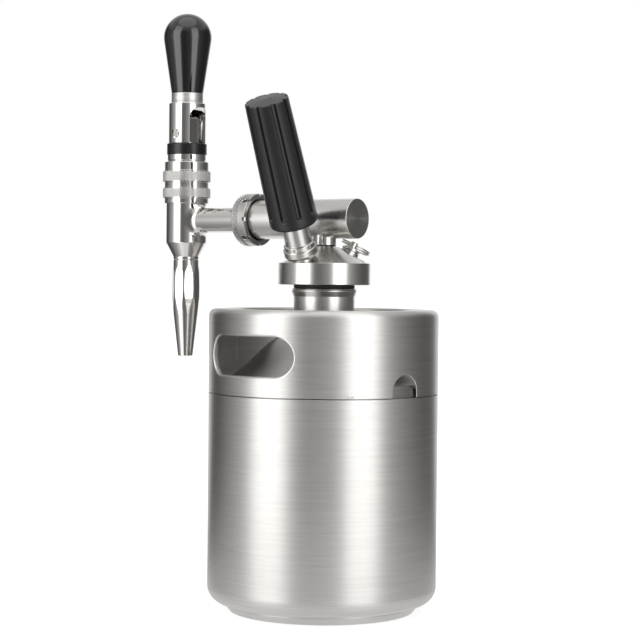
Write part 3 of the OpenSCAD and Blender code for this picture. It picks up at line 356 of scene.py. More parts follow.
def ring_of(radii, angle, height):
    """Points round +Z at one height."""
    return np.stack([radii * np.cos(angle), radii * np.sin(angle), np.full(len(angle), height)], 1)


def shaped_spin(rows, angle, radii):
    """A spun skin whose radius also changes round it, from its rows of (r, z)."""
    grid = np.array([ring_of(radii(r, z), angle, z) for r, z in rows])
    return loft(grid, grid_normals(grid), True)


def prism(points, low, high, start=None):
    """Quads and normals of a flat polygon (x, y) raised from low, or run on from a start polygon."""
    base = np.array(points if start is None else start, float)
    pts = np.array(points, float)
    bottom, top = [*base.mean(0), low], [*pts.mean(0), high]
    quads = []
    corner = []
    for i in range(len(pts)):
        j = (i + 1) % len(pts)
        a, b, c, d = [*base[i], low], [*base[j], low], [*pts[j], high], [*pts[i], high]
        out = np.array([c[1] - d[1], d[0] - c[0], 0.0])
        quads += [[a, b, c, d], [d, c, top, top], [b, a, bottom, bottom]]
        corner += [[out / np.linalg.norm(out)] * 4, [[0, 0, 1]] * 4, [[0, 0, -1]] * 4]
    return np.array(quads, float), np.array(corner, float)


def block(x0, x1, half, low, high):
    """A block between two distances from an axis."""
    return prism([(x0, -half), (x1, -half), (x1, half), (x0, half)], low, high)


def bore(radius, low, high, steps, place, corner=0.0):
    """A round cutter about a place's +Z."""
    shape = outline([(0, low), (radius, low, corner), (radius, high), (0, high)])
    return moved(spin(shape, steps), place)


def rounded_top(side, top, corner, steps):
    """Points of a round-cornered top edge, from its right end to its left end."""
    points = []
    for first, sign in ((0, 1), (90, -1)):
        for k in range(steps + 1):
            a = math.radians(first + 90 / steps * k)
            points.append((sign * (side - corner) + corner * math.cos(a),
                           top - corner + corner * math.sin(a)))
    return points


def moved(skin, place):
    """A skin's quads and normals carried to another place."""
    quads, corner = skin
    m = np.array(place)
    return quads @ m[:3, :3].T + m[:3, 3], corner @ m[:3, :3].T


def make_mesh(name, skins, place=None):
    """A mesh in metres from skins in millimetres, welded, with its own corner normals."""
    quads = np.concatenate([q for q, _ in skins])
    corner = np.concatenate([n for _, n in skins])
    if place is not None:
        quads, corner = moved((quads, corner), place)
    keys = np.round(quads.reshape(-1, 3), 4)
    _, first, index = np.unique(keys, axis=0, return_index=True, return_inverse=True)
    index = index.reshape(-1, 4)
    keep = index != np.roll(index, -1, 1)
    whole = (keep.sum(1) >= 3) & (index[:, 0] != index[:, 2]) & (index[:, 1] != index[:, 3])
    keep &= whole[:, None]
    totals = keep.sum(1)[whole]
    me = bpy.data.meshes.new(name)
    me.vertices.add(len(first))
    me.vertices.foreach_set("co", (quads.reshape(-1, 3)[first] / MM).astype(np.float32).ravel())
    me.loops.add(int(totals.sum()))
    me.loops.foreach_set("vertex_index", index[keep].astype(np.int32))
    me.polygons.add(len(totals))
    me.polygons.foreach_set("loop_start", (np.cumsum(totals) - totals).astype(np.int32))
    me.update(calc_edges=True)
    me.polygons.foreach_set("use_smooth", np.ones(len(totals), bool))
    normals = corner[keep]
    size = np.linalg.norm(normals, axis=1, keepdims=True)
    size[size < 1e-9] = 1
    me.normals_split_custom_set((normals / size).tolist())
    return me


def add_object(name, data):
    """An object at the origin that shows some data."""
    obj = bpy.data.objects.new(name, data)
    bpy.context.scene.collection.objects.link(obj)
    return obj


def read(items, name, width, kind=np.float32):
    """One value of every item of a mesh, as rows."""
    values = np.zeros(len(items) * width, kind)
    items.foreach_get(name, values)
    return values.reshape(-1, width) if width > 1 else values


def shade(me, surfaces, angle):
    """Corner normals of a cut mesh: exact where a corner lies on one of the surfaces."""
    me.polygons.foreach_set("use_smooth", np.ones(len(me.polygons), bool))
    me.set_sharp_from_angle(angle=math.radians(angle))
    normals = read(me.corner_normals, "vector", 3).astype(float)
    corners = read(me.loops, "vertex_index", 1, np.int32)
    points = read(me.vertices, "co", 3)[corners].astype(float) * MM
    totals = read(me.polygons, "loop_total", 1, np.int32)
    face = np.repeat(read(me.polygons, "normal", 3).astype(float), totals, 0)
    for surface in surfaces:
        found, exact = surface(points)
        exact = exact * np.sign((exact * face).sum(1))[:, None]
        good = found & ((exact * face).sum(1) > 0.985)
        normals[good] = exact[good]
    me.normals_split_custom_set(normals.tolist())


def spun_surface(shape, place):
    """Tells which points lie on a spun outline, and the normals there."""
    back = np.array(Matrix(place).inverted())
    out = np.array(place)[:3, :3]

    def surface(points):
        local = points @ back[:3, :3].T + back[:3, 3]
        r = np.hypot(local[:, 0], local[:, 1])
        q = np.stack([r, local[:, 2]], 1)
        best = np.full(len(q), 1e9)
        n2 = np.zeros((len(q), 2))
        for (a, b), (na, nb) in zip(*shape):
            d = b - a
            t = np.clip(((q - a) @ d) / (d @ d), 0, 1)
            gap = np.linalg.norm(q - a - t[:, None] * d, axis=1)
            closer = gap < best
            best[closer] = gap[closer]
            n2[closer] = (na + t[:, None] * (nb - na))[closer]
        ahead = local[:, :2] / np.where(r < 1e-9, 1, r)[:, None]
        n3 = np.concatenate([n2[:, :1] * ahead, n2[:, 1:]], 1)
        n3 /= np.maximum(np.linalg.norm(n3, axis=1, keepdims=True), 1e-9)
        return best < NEAR, n3 @ out.T

    return surface


def round_wall(radius, place):
    """The same for a round wall about a place's +Z."""
    return spun_surface(outline([(radius, -200), (radius, 200)], False), place)


def evaluated_mesh(obj):
    """The plain mesh that an object's modifiers give, with the modifiers removed."""
    bpy.context.view_layer.update()
    graph = bpy.context.evaluated_depsgraph_get()
    me = bpy.data.meshes.new_from_object(obj.evaluated_get(graph))
    obj.modifiers.clear()
    old = obj.data
    obj.data = me
    me.name = obj.name
    if old.users == 0:
        bpy.data.meshes.remove(old)
    return me


def carve(obj, cutters, surfaces, bevel=0.0, angle=32.0):
    """Cuts skins out of an object and gives the result its exact normals."""
    tools = []
    for cutter in cutters:
        tools.append(add_object(f"{obj.name}_cutter", make_mesh("cutter", [cutter])))
        mod = obj.modifiers.new("cut", "BOOLEAN")
        mod.operation = "DIFFERENCE"
        mod.solver = "EXACT"
        mod.object = tools[-1]
    if bevel:
        mod = obj.modifiers.new("edge", "BEVEL")
        mod.width = bevel / MM
        mod.segments = 2
        mod.limit_method = "ANGLE"
        mod.angle_limit = math.radians(35)
        mod.use_clamp_overlap = True
    me = evaluated_mesh(obj)
    for tool in tools:
        old = tool.data
        bpy.data.objects.remove(tool)
        bpy.data.meshes.remove(old)
    shade(me, surfaces, angle)


# Finishes

class Socket:
    """A shader socket with the arithmetic that the finishes use"""

    def __init__(self, finish, socket):
        self.finish = finish
        self.socket = socket

    def __add__(self, other):
        return self.finish.maths("ADD", self, other)

    __radd__ = __add__

    def __sub__(self, other):
        return self.finish.maths("SUBTRACT", self, other)

    def __rsub__(self, other):
        return self.finish.maths("SUBTRACT", other, self)

    def __mul__(self, other):
        return self.finish.maths("MULTIPLY", self, other)

    __rmul__ = __mul__

    def __truediv__(self, other):
        return self.finish.maths("DIVIDE", self, other)

    def __pow__(self, other):
        return self.finish.maths("POWER", self, other)

    def smooth(self, low, high):
        """0 below low, 1 above high, eased between."""
        return self.finish.node(
            "ShaderNodeMapRange", {"interpolation_type": "SMOOTHSTEP"}, [self, low, high, 0.0, 1.0])


class Finish:
    """A node tree built from Python expressions"""

    def __init__(self, name, world=False):
        self.owner = (bpy.data.worlds if world else bpy.data.materials).new(name)
        self.owner.use_nodes = True
        self.tree = self.owner.node_tree
        self.tree.nodes.clear()
        self.sink = self.tree.nodes.new("ShaderNodeOutputWorld" if world else "ShaderNodeOutputMaterial")

    def node(self, kind, settings=None, values=(), output=0):
        """A node with its settings, then its inputs by order or by name; gives one output."""
        new = self.tree.nodes.new(kind)
        for key, value in (settings or {}).items():
            if key == "stops":
                for stop, (place, tint) in zip(
                        list(new.color_ramp.elements) + [None] * len(value), value):
                    stop = stop or new.color_ramp.elements.new(place)
                    stop.position = place
                    stop.color = tint
            else:
                setattr(new, key, value)
        pairs = values.items() if isinstance(values, dict) else enumerate(values)
        for key, value in pairs:
            self.feed(new.inputs[key], value)
        self.last = new
        return Socket(self, new.outputs[output])

    def feed(self, socket, value):
        """Links or sets one input."""
        if isinstance(value, Socket):
            self.tree.links.new(value.socket, socket)
        elif value is not None:
            socket.default_value = value

    def end(self, result):
        """Feeds the tree's output."""
        self.feed(self.sink.inputs[0], result)
        return self.owner

    def maths(self, operation, *values):
        """A Math node."""
        return self.node("ShaderNodeMath", {"operation": operation}, values)

    def mix(self, factor, a, b):
        """A mix of two colours."""
        return self.node(
            "ShaderNodeMix", {"data_type": "RGBA", "clamp_factor": True}, {0: factor, 6: a, 7: b}, 2)

    def shades(self, factor, tint, low, high):
        """A mix of a darker and a lighter shade of one colour."""
        return self.mix(factor, *[[min(1.0, c * level) for c in tint] + [1.0] for level in (low, high)])

    def vector(self, x, y, z):
        """A vector from three numbers or sockets."""
        return self.node("ShaderNodeCombineXYZ", None, [x, y, z])

    def split(self, vector):
        """The three numbers of a vector."""
        self.node("ShaderNodeSeparateXYZ", None, [vector])
        node = self.last
        return [Socket(self, node.outputs[i]) for i in range(3)]

    def noise(self, vector, scale=1.0, detail=2.0, rough=0.5):
        """Noise between 0 and 1."""
        return self.node(
            "ShaderNodeTexNoise", {"noise_dimensions": "3D"},
            {"Vector": vector, "Scale": scale, "Detail": detail, "Roughness": rough})

    def place(self, axis=None):
        """Object coordinates in millimetres, centred and turned to a piece's own axis."""
        spot = self.node("ShaderNodeTexCoord", None, (), output=3)
        if axis is not None:
            middle, turned = axis().to_translation() / MM, axis().to_euler("XYZ")
            spot = self.node("ShaderNodeMapping", {"vector_type": "TEXTURE"},
                             {"Vector": spot, "Location": middle, "Rotation": turned})
        return self.node("ShaderNodeVectorMath", {"operation": "SCALE"}, {"Vector": spot, "Scale": MM})

    def bump(self, height, strength, distance):
        """A bump in millimetres that feeds a Normal input."""
        return self.node("ShaderNodeBump", None,
                         {"Strength": strength, "Distance": distance / MM, "Height": height})

    def surface(self, tint, rough, wear, normal=None, metal=1.0, **more):
        """The Principled surface, rougher or smoother where a pattern of wear says so."""
        for pattern, amount in wear:
            rough = rough + (pattern - 0.5) * amount
        values = {"Base Color": tint, "Metallic": metal, "Roughness": rough, "Normal": normal}
        values.update({key.replace("_", " "): value for key, value in more.items()})
        self.end(self.node("ShaderNodeBsdfPrincipled", None, values))


def brushed_round(f, tint, rough, contrast, bump, brushing=0.0):
    """Steel brushed round +Z: fine lines that run round, and faint clouds."""
    x, y, z = f.split(f.place())
    fine, broad, cloud, hair = [
        f.noise(f.vector(x * across, y * across, z * along), 1.0, detail, mix)
        for across, along, detail, mix in (
            (0.035, 3.2, 3.0, 0.62), (0.02, 0.6, 2.0, 0.5), (0.05, 0.05, 2.0, 0.5), (0.08, 9.0, 2.0, 0.6))]
    tone = (fine * 0.5 + broad * 0.3 + hair * 0.2).smooth(0.36, 0.64)
    f.surface(f.shades(tone, tint, 1 - contrast, 1 + contrast), rough, [(fine, 0.08), (cloud, 0.05)],
              f.bump(hair * 0.5 + fine, bump, 0.02), Anisotropic=brushing, Anisotropic_Rotation=0.25)


def turned_round(f, tint, rough, pitch, bump, contrast, deep, brushing=0.0, place=None):
    """Steel turned on a lathe: fine rings about its axis on faces and sides."""
    spot = f.place(place)
    x, y, z = f.split(spot)
    away = (x * x + y * y) ** 0.5
    rings = f.noise(f.vector(away / pitch, z / pitch, 0.0), 1.0, 2.0, 0.55)
    cloud = f.noise(spot, 0.09)
    scuff = f.noise(spot, 0.7, 3.0, 0.6)
    f.surface(f.shades(rings, tint, 1 - contrast, 1 + contrast), rough,
              [(rings, 0.08), (cloud, 0.05), (scuff, 0.03)], f.bump(rings, bump, deep),
              Anisotropic=brushing, Anisotropic_Rotation=0.25)


def polished(f, tint, rough):
    """Polished steel with faint polishing marks."""
    spot = f.place()
    cloud = f.noise(spot, 0.12)
    fine = f.noise(spot, 1.3, 3.0, 0.6)
    f.surface(f.shades(cloud, tint, 0.97, 1.03), rough, [(cloud, 0.05), (fine, 0.04)],
              f.bump(fine, 0.05, 0.01))


def satin(f, tint, rough, grain, contrast):
    """Satin steel with a fine even grain."""
    spot = f.place()
    fine = f.noise(spot, grain, 3.0, 0.65)
    cloud = f.noise(spot, 0.15)
    f.surface(f.shades(fine * 0.6 + cloud * 0.4, tint, 1 - contrast, 1 + contrast), rough,
              [(fine, 0.12), (cloud, 0.06)], f.bump(fine, 0.2, 0.02))


def knurled(f, tint, place, node):
    """Satin steel whose knurl has painted shade: darker down between its points, where shade falls."""
    root = span(node)[1].x - KNURL_STEP
    spot = f.place(place)
    x, y = f.split(spot)[:2]
    # painted shade: the colour darkens to 0.3 of the tint towards the root between the diamonds
    up = ((x * x + y * y) ** 0.5).smooth(root + 0.12, root + 0.5)
    f.surface(f.shades(up, tint, 0.3, 1.0), 0.3, [(f.noise(spot, 1.6, 2.0, 0.6), 0.1)])


def painted_fan_highlight(f, tint, place):
    """A turned disc with a painted highlight: two bright fans painted out from its middle in place of the
    turned rings' reflection.
    """
    x, y = f.split(f.place(place))[:2]
    away = x * x + y * y + 0.01
    rings = f.noise(f.vector(away ** 0.5 / 0.3, 0.0, 0.0), 1.0, 2.0, 0.55)
    level = x * x / away
    # painted highlight: lighter colour in a bow-tie along x, with a fainter one along y
    painted_highlight = level ** 22.0 * 0.75 + level ** 3.0 * 0.16 + (y * y / away) ** 40.0 * 0.22
    f.surface(f.shades(painted_highlight, tint, 0.72, 1.9), 0.27, [(rings, 0.14)], f.bump(rings, 0.4, 0.02))


def gloss_black(f, tint):
    """Glossy black plastic with a faint ripple and dust."""
    spot = f.place()
    ripple = f.noise(spot, 0.08, 1.0, 0.4)
    dust = f.noise(spot, 1.1, 3.0, 0.7)
    f.surface(f.shades(dust.smooth(0.55, 0.9), tint, 1.0, 2.2), 0.11 + dust.smooth(0.5, 0.9) * 0.06,
              [(ripple, 0.05)], f.bump(ripple, 0.06, 0.2), 0.0, Coat_Weight=0.6, Coat_Roughness=0.05)


def matt_black(f, tint, rough, grain, place=None):
    """Moulded black plastic or rubber with a fine grain."""
    spot = f.place(place)
    fine = f.noise(spot, grain, 2.0, 0.6)
    cloud = f.noise(spot, 0.09)
    f.surface(f.shades(cloud, tint, 0.8, 1.25), rough, [(fine, 0.16), (cloud, 0.08)],
              f.bump(fine, 0.28, 0.05), 0.0)


def white_plastic(f, tint):
    """Moulded white plastic."""
    fine = f.noise(f.place(), 1.4, 2.0, 0.6)
    f.surface(f.shades(fine, tint, 0.97, 1.0), 0.42, [(fine, 0.1)], f.bump(fine, 0.1, 0.02), 0.0)


# Each finish: its slot, its colour and that colour's level, its maker and what the maker is told
DULL_BRUSH = dict(rough=0.43, contrast=0.07, bump=0.3, brushing=0.82)
FINISHES = {
    "brushed_shell": ("brushed_shell", "shell", 1.0, brushed_round, DULL_BRUSH),
    # painted shade: the shoulder is the shell's own steel at 0.74 of its colour, darker because it sits in
    # shade under the handle ring
    "shoulder_steel": ("brushed_shell", "shell", 0.74, brushed_round, DULL_BRUSH),
    "brushed_neck": ("satin_steel", "shell", 1.0, brushed_round,
                     dict(rough=0.3, contrast=0.04, bump=0.15, brushing=0.5)),
    "ferrule_steel": ("plain_steel", "turned", 1.0, brushed_round, dict(rough=0.42, contrast=0.12, bump=0.3)),
    "turned_lid": ("turned_steel", "turned", 1.0, turned_round,
                   dict(rough=0.24, pitch=0.35, bump=0.2, contrast=0.03, brushing=0.5, deep=0.015)),
    "turned_tube": ("turned_steel", "turned", 1.0, turned_round,
                    dict(rough=0.26, pitch=0.4, bump=0.3, contrast=0.04, deep=0.008, place=tube_place)),
    "turned_inlet": ("satin_steel", "turned", 1.0, turned_round,
                     dict(rough=0.25, pitch=0.45, bump=0.5, contrast=0.05, deep=0.02, place=port_place)),
    # painted highlight: the tube's end face carries bright fans painted into its colour
    "face_steel": ("turned_steel", "turned", 1.0, painted_fan_highlight, dict(place=tube_place)),
    "polished_tap": ("polished_steel", "polished", 1.0, polished, dict(rough=0.075)),
    "post_steel": ("polished_steel", "turned", 1.0, polished, dict(rough=0.14)),
    "ring_polish": ("satin_steel", "polished", 1.0, polished, dict(rough=0.12)),
    "nut_steel": ("satin_steel", "satin", 0.78, satin, dict(rough=0.32, grain=0.9, contrast=0.2)),
    "plain_steel": ("plain_steel", "satin", 1.0, satin, dict(rough=0.2, grain=2.0, contrast=0.05)),
    "wire_steel": ("spring_steel", "wire", 1.0, satin, dict(rough=0.16, grain=1.2, contrast=0.06)),
    "brass": ("brass", "brass", 1.0, satin, dict(rough=0.25, grain=1.8, contrast=0.06)),
    # painted shade down between both knurls' points; the bonnet's knurl is also set lighter, 1.25 against the
    # nut's 1.05, a painted lighter copy of the same knurl
    "nut_knurl": ("satin_steel", "satin", 1.05, knurled, dict(place=nut_place, node="coupling_nut")),
    "bonnet_knurl_steel": ("satin_steel", "satin", 1.25, knurled, dict(place=tap_place, node="bonnet_nut")),
    "knob_black": ("gloss_black", "knob", 1.0, gloss_black, {}),
    "sleeve_black": ("matte_black", "sleeve", 1.0, matt_black, dict(rough=0.34, grain=2.2, place=port_place)),
    "ring_black": ("matte_black", "knob", 1.0, matt_black, dict(rough=0.3, grain=1.6)),
    "rubber": ("black_rubber", "rubber", 1.0, matt_black, dict(rough=0.6, grain=1.5)),
    "white_plastic": ("white_plastic", "plastic", 1.0, white_plastic, {}),
}
MADE = {}


def finish(name):
    """A finish's material, made once and shared."""
    if name not in MADE:
        tint, level, maker, told = FINISHES[name][1:]
        toned = [min(1.0, c * level) for c in getattr(bpy.context.scene.keg_colours, tint)]
        MADE[name] = Finish(name)
        maker(MADE[name], toned, **told)
    return MADE[name].owner


# Pieces

def dress(obj, body, skin, *nodes, slot=None):
    """Puts a piece on its body, in its finish, in place of its CAD nodes."""
    obj.data.materials.clear()
    obj.data.materials.append(finish(skin))
    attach(obj, body)
    if nodes:
        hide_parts(*nodes)
    return obj


def skin_piece(name, skins, place, body, skin, *nodes):
    """A piece from its skins."""
    return dress(add_object(name, make_mesh(name, skins, place)), body, skin, *nodes)


def spun_piece(name, points, place, steps, body, skin, *nodes):
    """A turned piece from its outline."""
    return skin_piece(name, [spin(outline(points), steps)], place, body, skin, *nodes)


def cut_piece(name, points, place, steps, cutters, bevel, body, skin, node, walls=()):
    """A turned piece from its outline, with cuts in it."""
    shape = outline(points)
    obj = add_object(name, make_mesh(name, [spin(shape, steps)], place))
    carve(obj, cutters, [spun_surface(shape, place), *walls], bevel)
    return dress(obj, body, skin, node)


class Form(Finish):
    """A geometry tree with named inputs that ends in real faces with a finish"""

    def __init__(self, name, sizes):
        self.owner = self.tree = bpy.data.node_groups.new(name, "GeometryNodeTree")
        self.tree.interface.new_socket(name="Geometry", in_out="OUTPUT", socket_type="NodeSocketGeometry")
        self.ids = {}
        for key, value in sizes.items():
            kind = "NodeSocketInt" if isinstance(value, int) else "NodeSocketFloat"
            item = self.tree.interface.new_socket(name=key, in_out="INPUT", socket_type=kind)
            item.default_value = value
            self.ids[key] = item.identifier
        self.source = self.tree.nodes.new("NodeGroupInput")
        self.sink = self.tree.nodes.new("NodeGroupOutput")

    def size(self, name):
        """One of the tree's named inputs."""
        return Socket(self, self.source.outputs[name])

    def realise(self, geometry, skin):
        """Makes instances real and sets the finish."""
        real = self.node("GeometryNodeRealizeInstances", None, [geometry])
        self.end(self.node("GeometryNodeSetMaterial", None, {"Geometry": real, "Material": finish(skin)}))
        return self


def knurl_form(skin):
    """A band of diamonds round +Z, made from rows of small four-sided points."""
    f = Form("Knurl band", {"Radius": 0.0177, "Columns": 80, "Rows": 8, "Pitch": 0.0013,
                            "Row step": 0.0006, "Depth": 0.0004, "Start": 0.0})
    columns = f.size("Columns")
    points = f.node("GeometryNodePoints", None, {"Count": columns * f.size("Rows")})
    index = f.node("GeometryNodeInputIndex")
    row = f.maths("FLOOR", index / columns)
    column = index - row * columns + f.maths("MODULO", row, 2.0) * 0.5
    angle = column / columns * (2 * math.pi)
    radius = f.size("Radius")
    spot = f.vector(radius * f.maths("COSINE", angle), radius * f.maths("SINE", angle),
                    f.size("Start") + row * f.size("Row step"))
    placed = f.node("GeometryNodeSetPosition", None, {"Geometry": points, "Position": spot})
    point = f.node("GeometryNodeMeshCone", {"fill_type": "NONE"}, {
        "Vertices": 4, "Radius Top": 0.0, "Radius Bottom": f.size("Pitch") * 0.43, "Depth": f.size("Depth")})
    return f.realise(f.node("GeometryNodeInstanceOnPoints", None, {
        "Points": placed, "Instance": point, "Rotation": f.vector(0.0, math.pi / 2, angle)}), skin)


def spiral_form(skin):
    """A wire wound round +Z."""
    f = Form("Wound wire", {"Radius": 0.01, "Wire": 0.001, "Height": 0.01, "Turns": 5.0, "Steps": 48})
    path = f.node("GeometryNodeCurveSpiral", None, {
        "Resolution": f.size("Steps"), "Rotations": f.size("Turns"), "Start Radius": f.size("Radius"),
        "End Radius": f.size("Radius"), "Height": f.size("Height"), "Reverse": False})
    section = f.node("GeometryNodeCurvePrimitiveCircle", None, {
        "Resolution": 16, "Radius": f.size("Wire") * 0.5})
    wire = f.node("GeometryNodeCurveToMesh", None, {
        "Curve": path, "Profile Curve": section, "Fill Caps": True})
    smooth = f.node("GeometryNodeSetShadeSmooth", None, {"Geometry": wire, "Shade Smooth": True})
    return f.realise(smooth, skin)


def formed_piece(name, form, sizes, place, body, skin, *nodes):
    """A piece made by a geometry tree, turned into a plain mesh in its place."""
    obj = add_object(name, bpy.data.meshes.new(name))
    mod = obj.modifiers.new("form", "NODES")
    mod.node_group = form.tree
    for key, value in sizes.items():
        mod[form.ids[key]] = value
    me = evaluated_mesh(obj)
    matrix = Matrix(place)
    matrix.translation = matrix.translation / MM
    me.transform(matrix)
    me.update()
    return dress(obj, body, skin, *nodes)


def knurl_band(name, radius, low, high, place, skin):
    """A knurled band of the head between two heights of a piece's axis, in millimetres."""
    columns = round(2 * math.pi * radius / mm("knurl_pitch"))
    rows = max(2, round((high - low) * columns / (math.pi * radius)) - 1)
    step = (high - low) / (rows + 1)
    formed_piece(name, knurl_form(skin), {
        "Radius": (radius + mm("knurl_depth") / 2) / MM, "Columns": columns, "Rows": rows,
        "Pitch": 2 * step / MM, "Row step": step / MM, "Depth": mm("knurl_depth") / MM,
        "Start": (low + step) / MM}, place, "head", skin)


def wound_wire(name, radius, wire, height, turns, steps, place, body, node):
    """A spring or ring of wire, in millimetres."""
    return formed_piece(name, spiral_form("wire_steel"), {
        "Radius": radius / MM, "Wire": wire / MM, "Height": height / MM, "Turns": turns, "Steps": steps},
        place, body, "wire_steel", node)


# Keg

def arc(gap, depth, radius, turns):
    """Rows of an edge's profile: distance from the opening, depth and turn of the normal."""
    return [(gap - radius * math.sin(math.radians(t)), depth - radius * math.cos(math.radians(t)), t)
            for t in turns]


def curled_edge():
    """Profile of a slot's edge, curled inwards."""
    wall, curl = mm("wall"), mm("slot_curl")
    half, inner = wall / 2, max(curl - wall, 0.3)
    return (arc(curl, curl, curl, range(0, 91, 15))
            + arc(half, mm("slot_depth") - half, half, range(90, 271, 30))
            + arc(wall + inner, wall + inner, -inner, [270 - 22.5 * i for i in range(5)]))


def plain_edge():
    """Profile of a plain sheet edge with slightly broken corners."""
    corner = 0.45
    return (arc(corner, corner, corner, range(0, 91, 30))
            + arc(corner, mm("wall") - corner, corner, range(90, 181, 30)))


def opening_patch(radius, border, centres, reach, edge, closed):
    """Sheet round an opening in a round wall, from a border (angle, height) to a rolled edge."""
    angles = border[:, 0]
    wall = mm("wall")
    flat = np.stack([radius * np.sin(angles), border[:, 1]], 1)
    away = flat - centres
    away /= np.linalg.norm(away, axis=1, keepdims=True)
    rows = []
    turns = []

    def add(points, depth, bend):
        r = radius - depth
        x = np.sqrt(r * r - points[:, 0] ** 2)
        rows.append(np.stack([x, points[:, 0], points[:, 1]], 1))
        out = np.stack([x / r, points[:, 0] / r, 0 * x], 1)
        side = np.stack([0 * x, -away[:, 0], -away[:, 1]], 1)
        turns.append(math.cos(math.radians(bend)) * out + math.sin(math.radians(bend)) * side)

    start = centres + (reach + edge[0][0]) * away
    for i in range(7):
        add(flat + (start - flat) * i / 6, 0.0, 0)
    for gap, depth, bend in edge[1:]:
        add(centres + (reach + gap) * away, depth, bend)
    last = centres + (reach + edge[-1][0]) * away
    inner = np.stack([(radius - wall) * np.sin(angles), border[:, 1]], 1)
    for i in range(1, 7):
        add(last + (inner - last) * i / 6, wall, 180)
    grid = np.array(rows)
    skins = [loft(grid, np.array(turns), closed)]
    if not closed:
        for column, order in ((0, 1), (-1, -1)):
            line = grid[:, column]
            quads = np.array([[line[i], line[i + 1], line[-2 - i], line[-1 - i]][::order]
                              for i in range(len(line) // 2)])
            skins.append((quads, np.tile([0.0, 0.0, -1.0], (len(quads), 4, 1))))
    return skins


def opening(radius, turned_by, room, half, reach, levels, low, high, edge):
    """Degrees that an opening's patch covers, and its skins. Its centres lie between low and high."""
    spread = math.degrees(math.asin(half / radius)) + room
    first, last = math.floor(turned_by - spread), math.ceil(turned_by + spread)
    closed = low > levels[0]  # a notch runs out through the lower edge instead
    border = [(i, levels[0]) for i in range(first, last)] if closed else []
    border += [(last, z) for z in levels[:-1]]
    border += [(i, levels[-1]) for i in range(last, first, -1)]
    border += [(first, z) for z in (levels[:0:-1] if closed else levels[::-1])]
    border = np.array(border, float)
    border[:, 0] = np.radians(border[:, 0] - turned_by)
    straight = half - reach
    centres = np.stack([np.clip(radius * np.sin(border[:, 0]), -straight, straight),
                        np.clip(border[:, 1], low, high)], 1)
    skins = opening_patch(radius, border, centres, reach, edge, closed)
    return np.arange(first, last), [moved(skin, about(turned_by)) for skin in skins]


def handle_ring_skins():
    """The handle ring's sheet with its rolled rim, slots and notches."""
    low, high = span("top_chime")
    radius = span("vessel_cup")[1].x
    wall, rim, rounding = mm("wall"), mm("rim_radius"), mm("rim_round")
    z0, z1, top = low.z, high.z - rounding, high.z
    steps = 360
    lip = top - 2.6
    shape = outline([
        (radius, z0), (radius, top, rounding), (rim, top, 2.0), (rim, lip, 0.45), (rim + wall, lip, 0.45),
        (rim + wall, top - wall, 1.0), (radius - wall, top - wall, rounding - wall), (radius - wall, z0)])
    heights = shape[0][:, :, 1]
    tall = abs(heights[:, 0] - heights[:, 1]) > 20
    bottom = (abs(heights - z0) < 0.01).all(1)
    keep = np.ones((len(heights), steps), bool)
    skins = []
    seam = z0 - 0.4
    middle = seam + mm("slot_rise")
    slot = (3.5, mm("slot_length") / 2, mm("slot_height") / 2, np.linspace(z0, z1, 49), middle, middle,
            curled_edge())
    reach = mm("notch_width") / 2
    arch = seam + mm("notch_height") - reach
    levels = np.concatenate([np.linspace(z0, arch, 4)[:-1], np.linspace(arch, z1, 26)])
    notch = (4, reach, reach, levels, z0 - 100, arch, plain_edge())
    notch_turn = math.degrees(bpy.context.scene.keg_sizes.notch_turn)
    for first_turn, cut, rows in ((0.0, slot, tall), (notch_turn, notch, tall | bottom)):
        for half_turn in (0.0, 180.0):
            cells, patch = opening(radius, first_turn + half_turn, *cut)
            keep[np.ix_(rows, cells % steps)] = False
            skins += patch
    return [*skins, spin(shape, steps, keep)]


class KEG_OT_handle_ring(bpy.types.Operator):
    """Build the handle ring with its slots, notches and rolled rim, and the weld marks"""
    bl_idname = "keg.handle_ring"
    bl_label = "Handle ring"

    def execute(self, context):
        skin_piece("handle_ring", handle_ring_skins(), keg_place(), "keg", "brushed_shell", "top_chime")
        low, high = span("top_chime")
        wall = high.x - mm("wall")
        strip = prism([(wall - 0.4, -0.5), (wall + 0.1, -0.9), (wall + 0.1, 0.9), (wall - 0.4, 0.5)],
                      low.z + 19, high.z - 8)
        marks = [moved(strip, about(-85.1))]
        bead = outline([(0, -0.6), (1.2, -0.6), (1.1, 0, 0.2), (0.6, 0.4, 0.3), (0, 0.5)])
        for angle, rise, tall in ((53.4, 2.0, 0.8), (55.0, 1.2, 1.2), (56.6, 1.7, 1.0)):
            spot = about(angle) @ at(high.x - 0.15, 0, low.z - 0.4 + rise) @ about(90, "Y")
            marks.append(moved(spin(bead, 24), spot @ Matrix.Diagonal((tall, 1.0, 1.0, 1.0))))
        skin_piece("weld_marks", marks, keg_place(), "keg", "brushed_shell")
        return {"FINISHED"}


class KEG_OT_shell(bpy.types.Operator):
    """Build the lower shell and its foot ring"""
    bl_idname = "keg.shell"
    bl_label = "Shell and foot"

    def execute(self, context):
        low, high = span("vessel_cup")
        r, wall, corner = high.x, mm("wall"), mm("corner")
        spun_piece("shell", [
            (0, low.z), (r, low.z, corner), (r, high.z, 0.3), (r - wall, high.z, 0.3),
            (r - wall, low.z + wall, corner - wall), (0, low.z + wall)],
            keg_place(), 240, "keg", "brushed_shell", "vessel_cup")
        high = span("foot_ring")[1]
        r, top = high.x, high.z
        foot = outline([
            (r - 7.2, 0, 0.3), (r - 3.6, 0, 0.8), (r, top - 1.2, 0.5), (r, top, 0.4), (r - 3.6, top),
            (r - 6.4, 1.2, 0.5)])
        obj = add_object("foot", make_mesh("foot", [spin(foot, 200)], keg_place()))
        dress(obj, "keg", "brushed_shell", "foot_ring", slot="satin_steel")
        return {"FINISHED"}


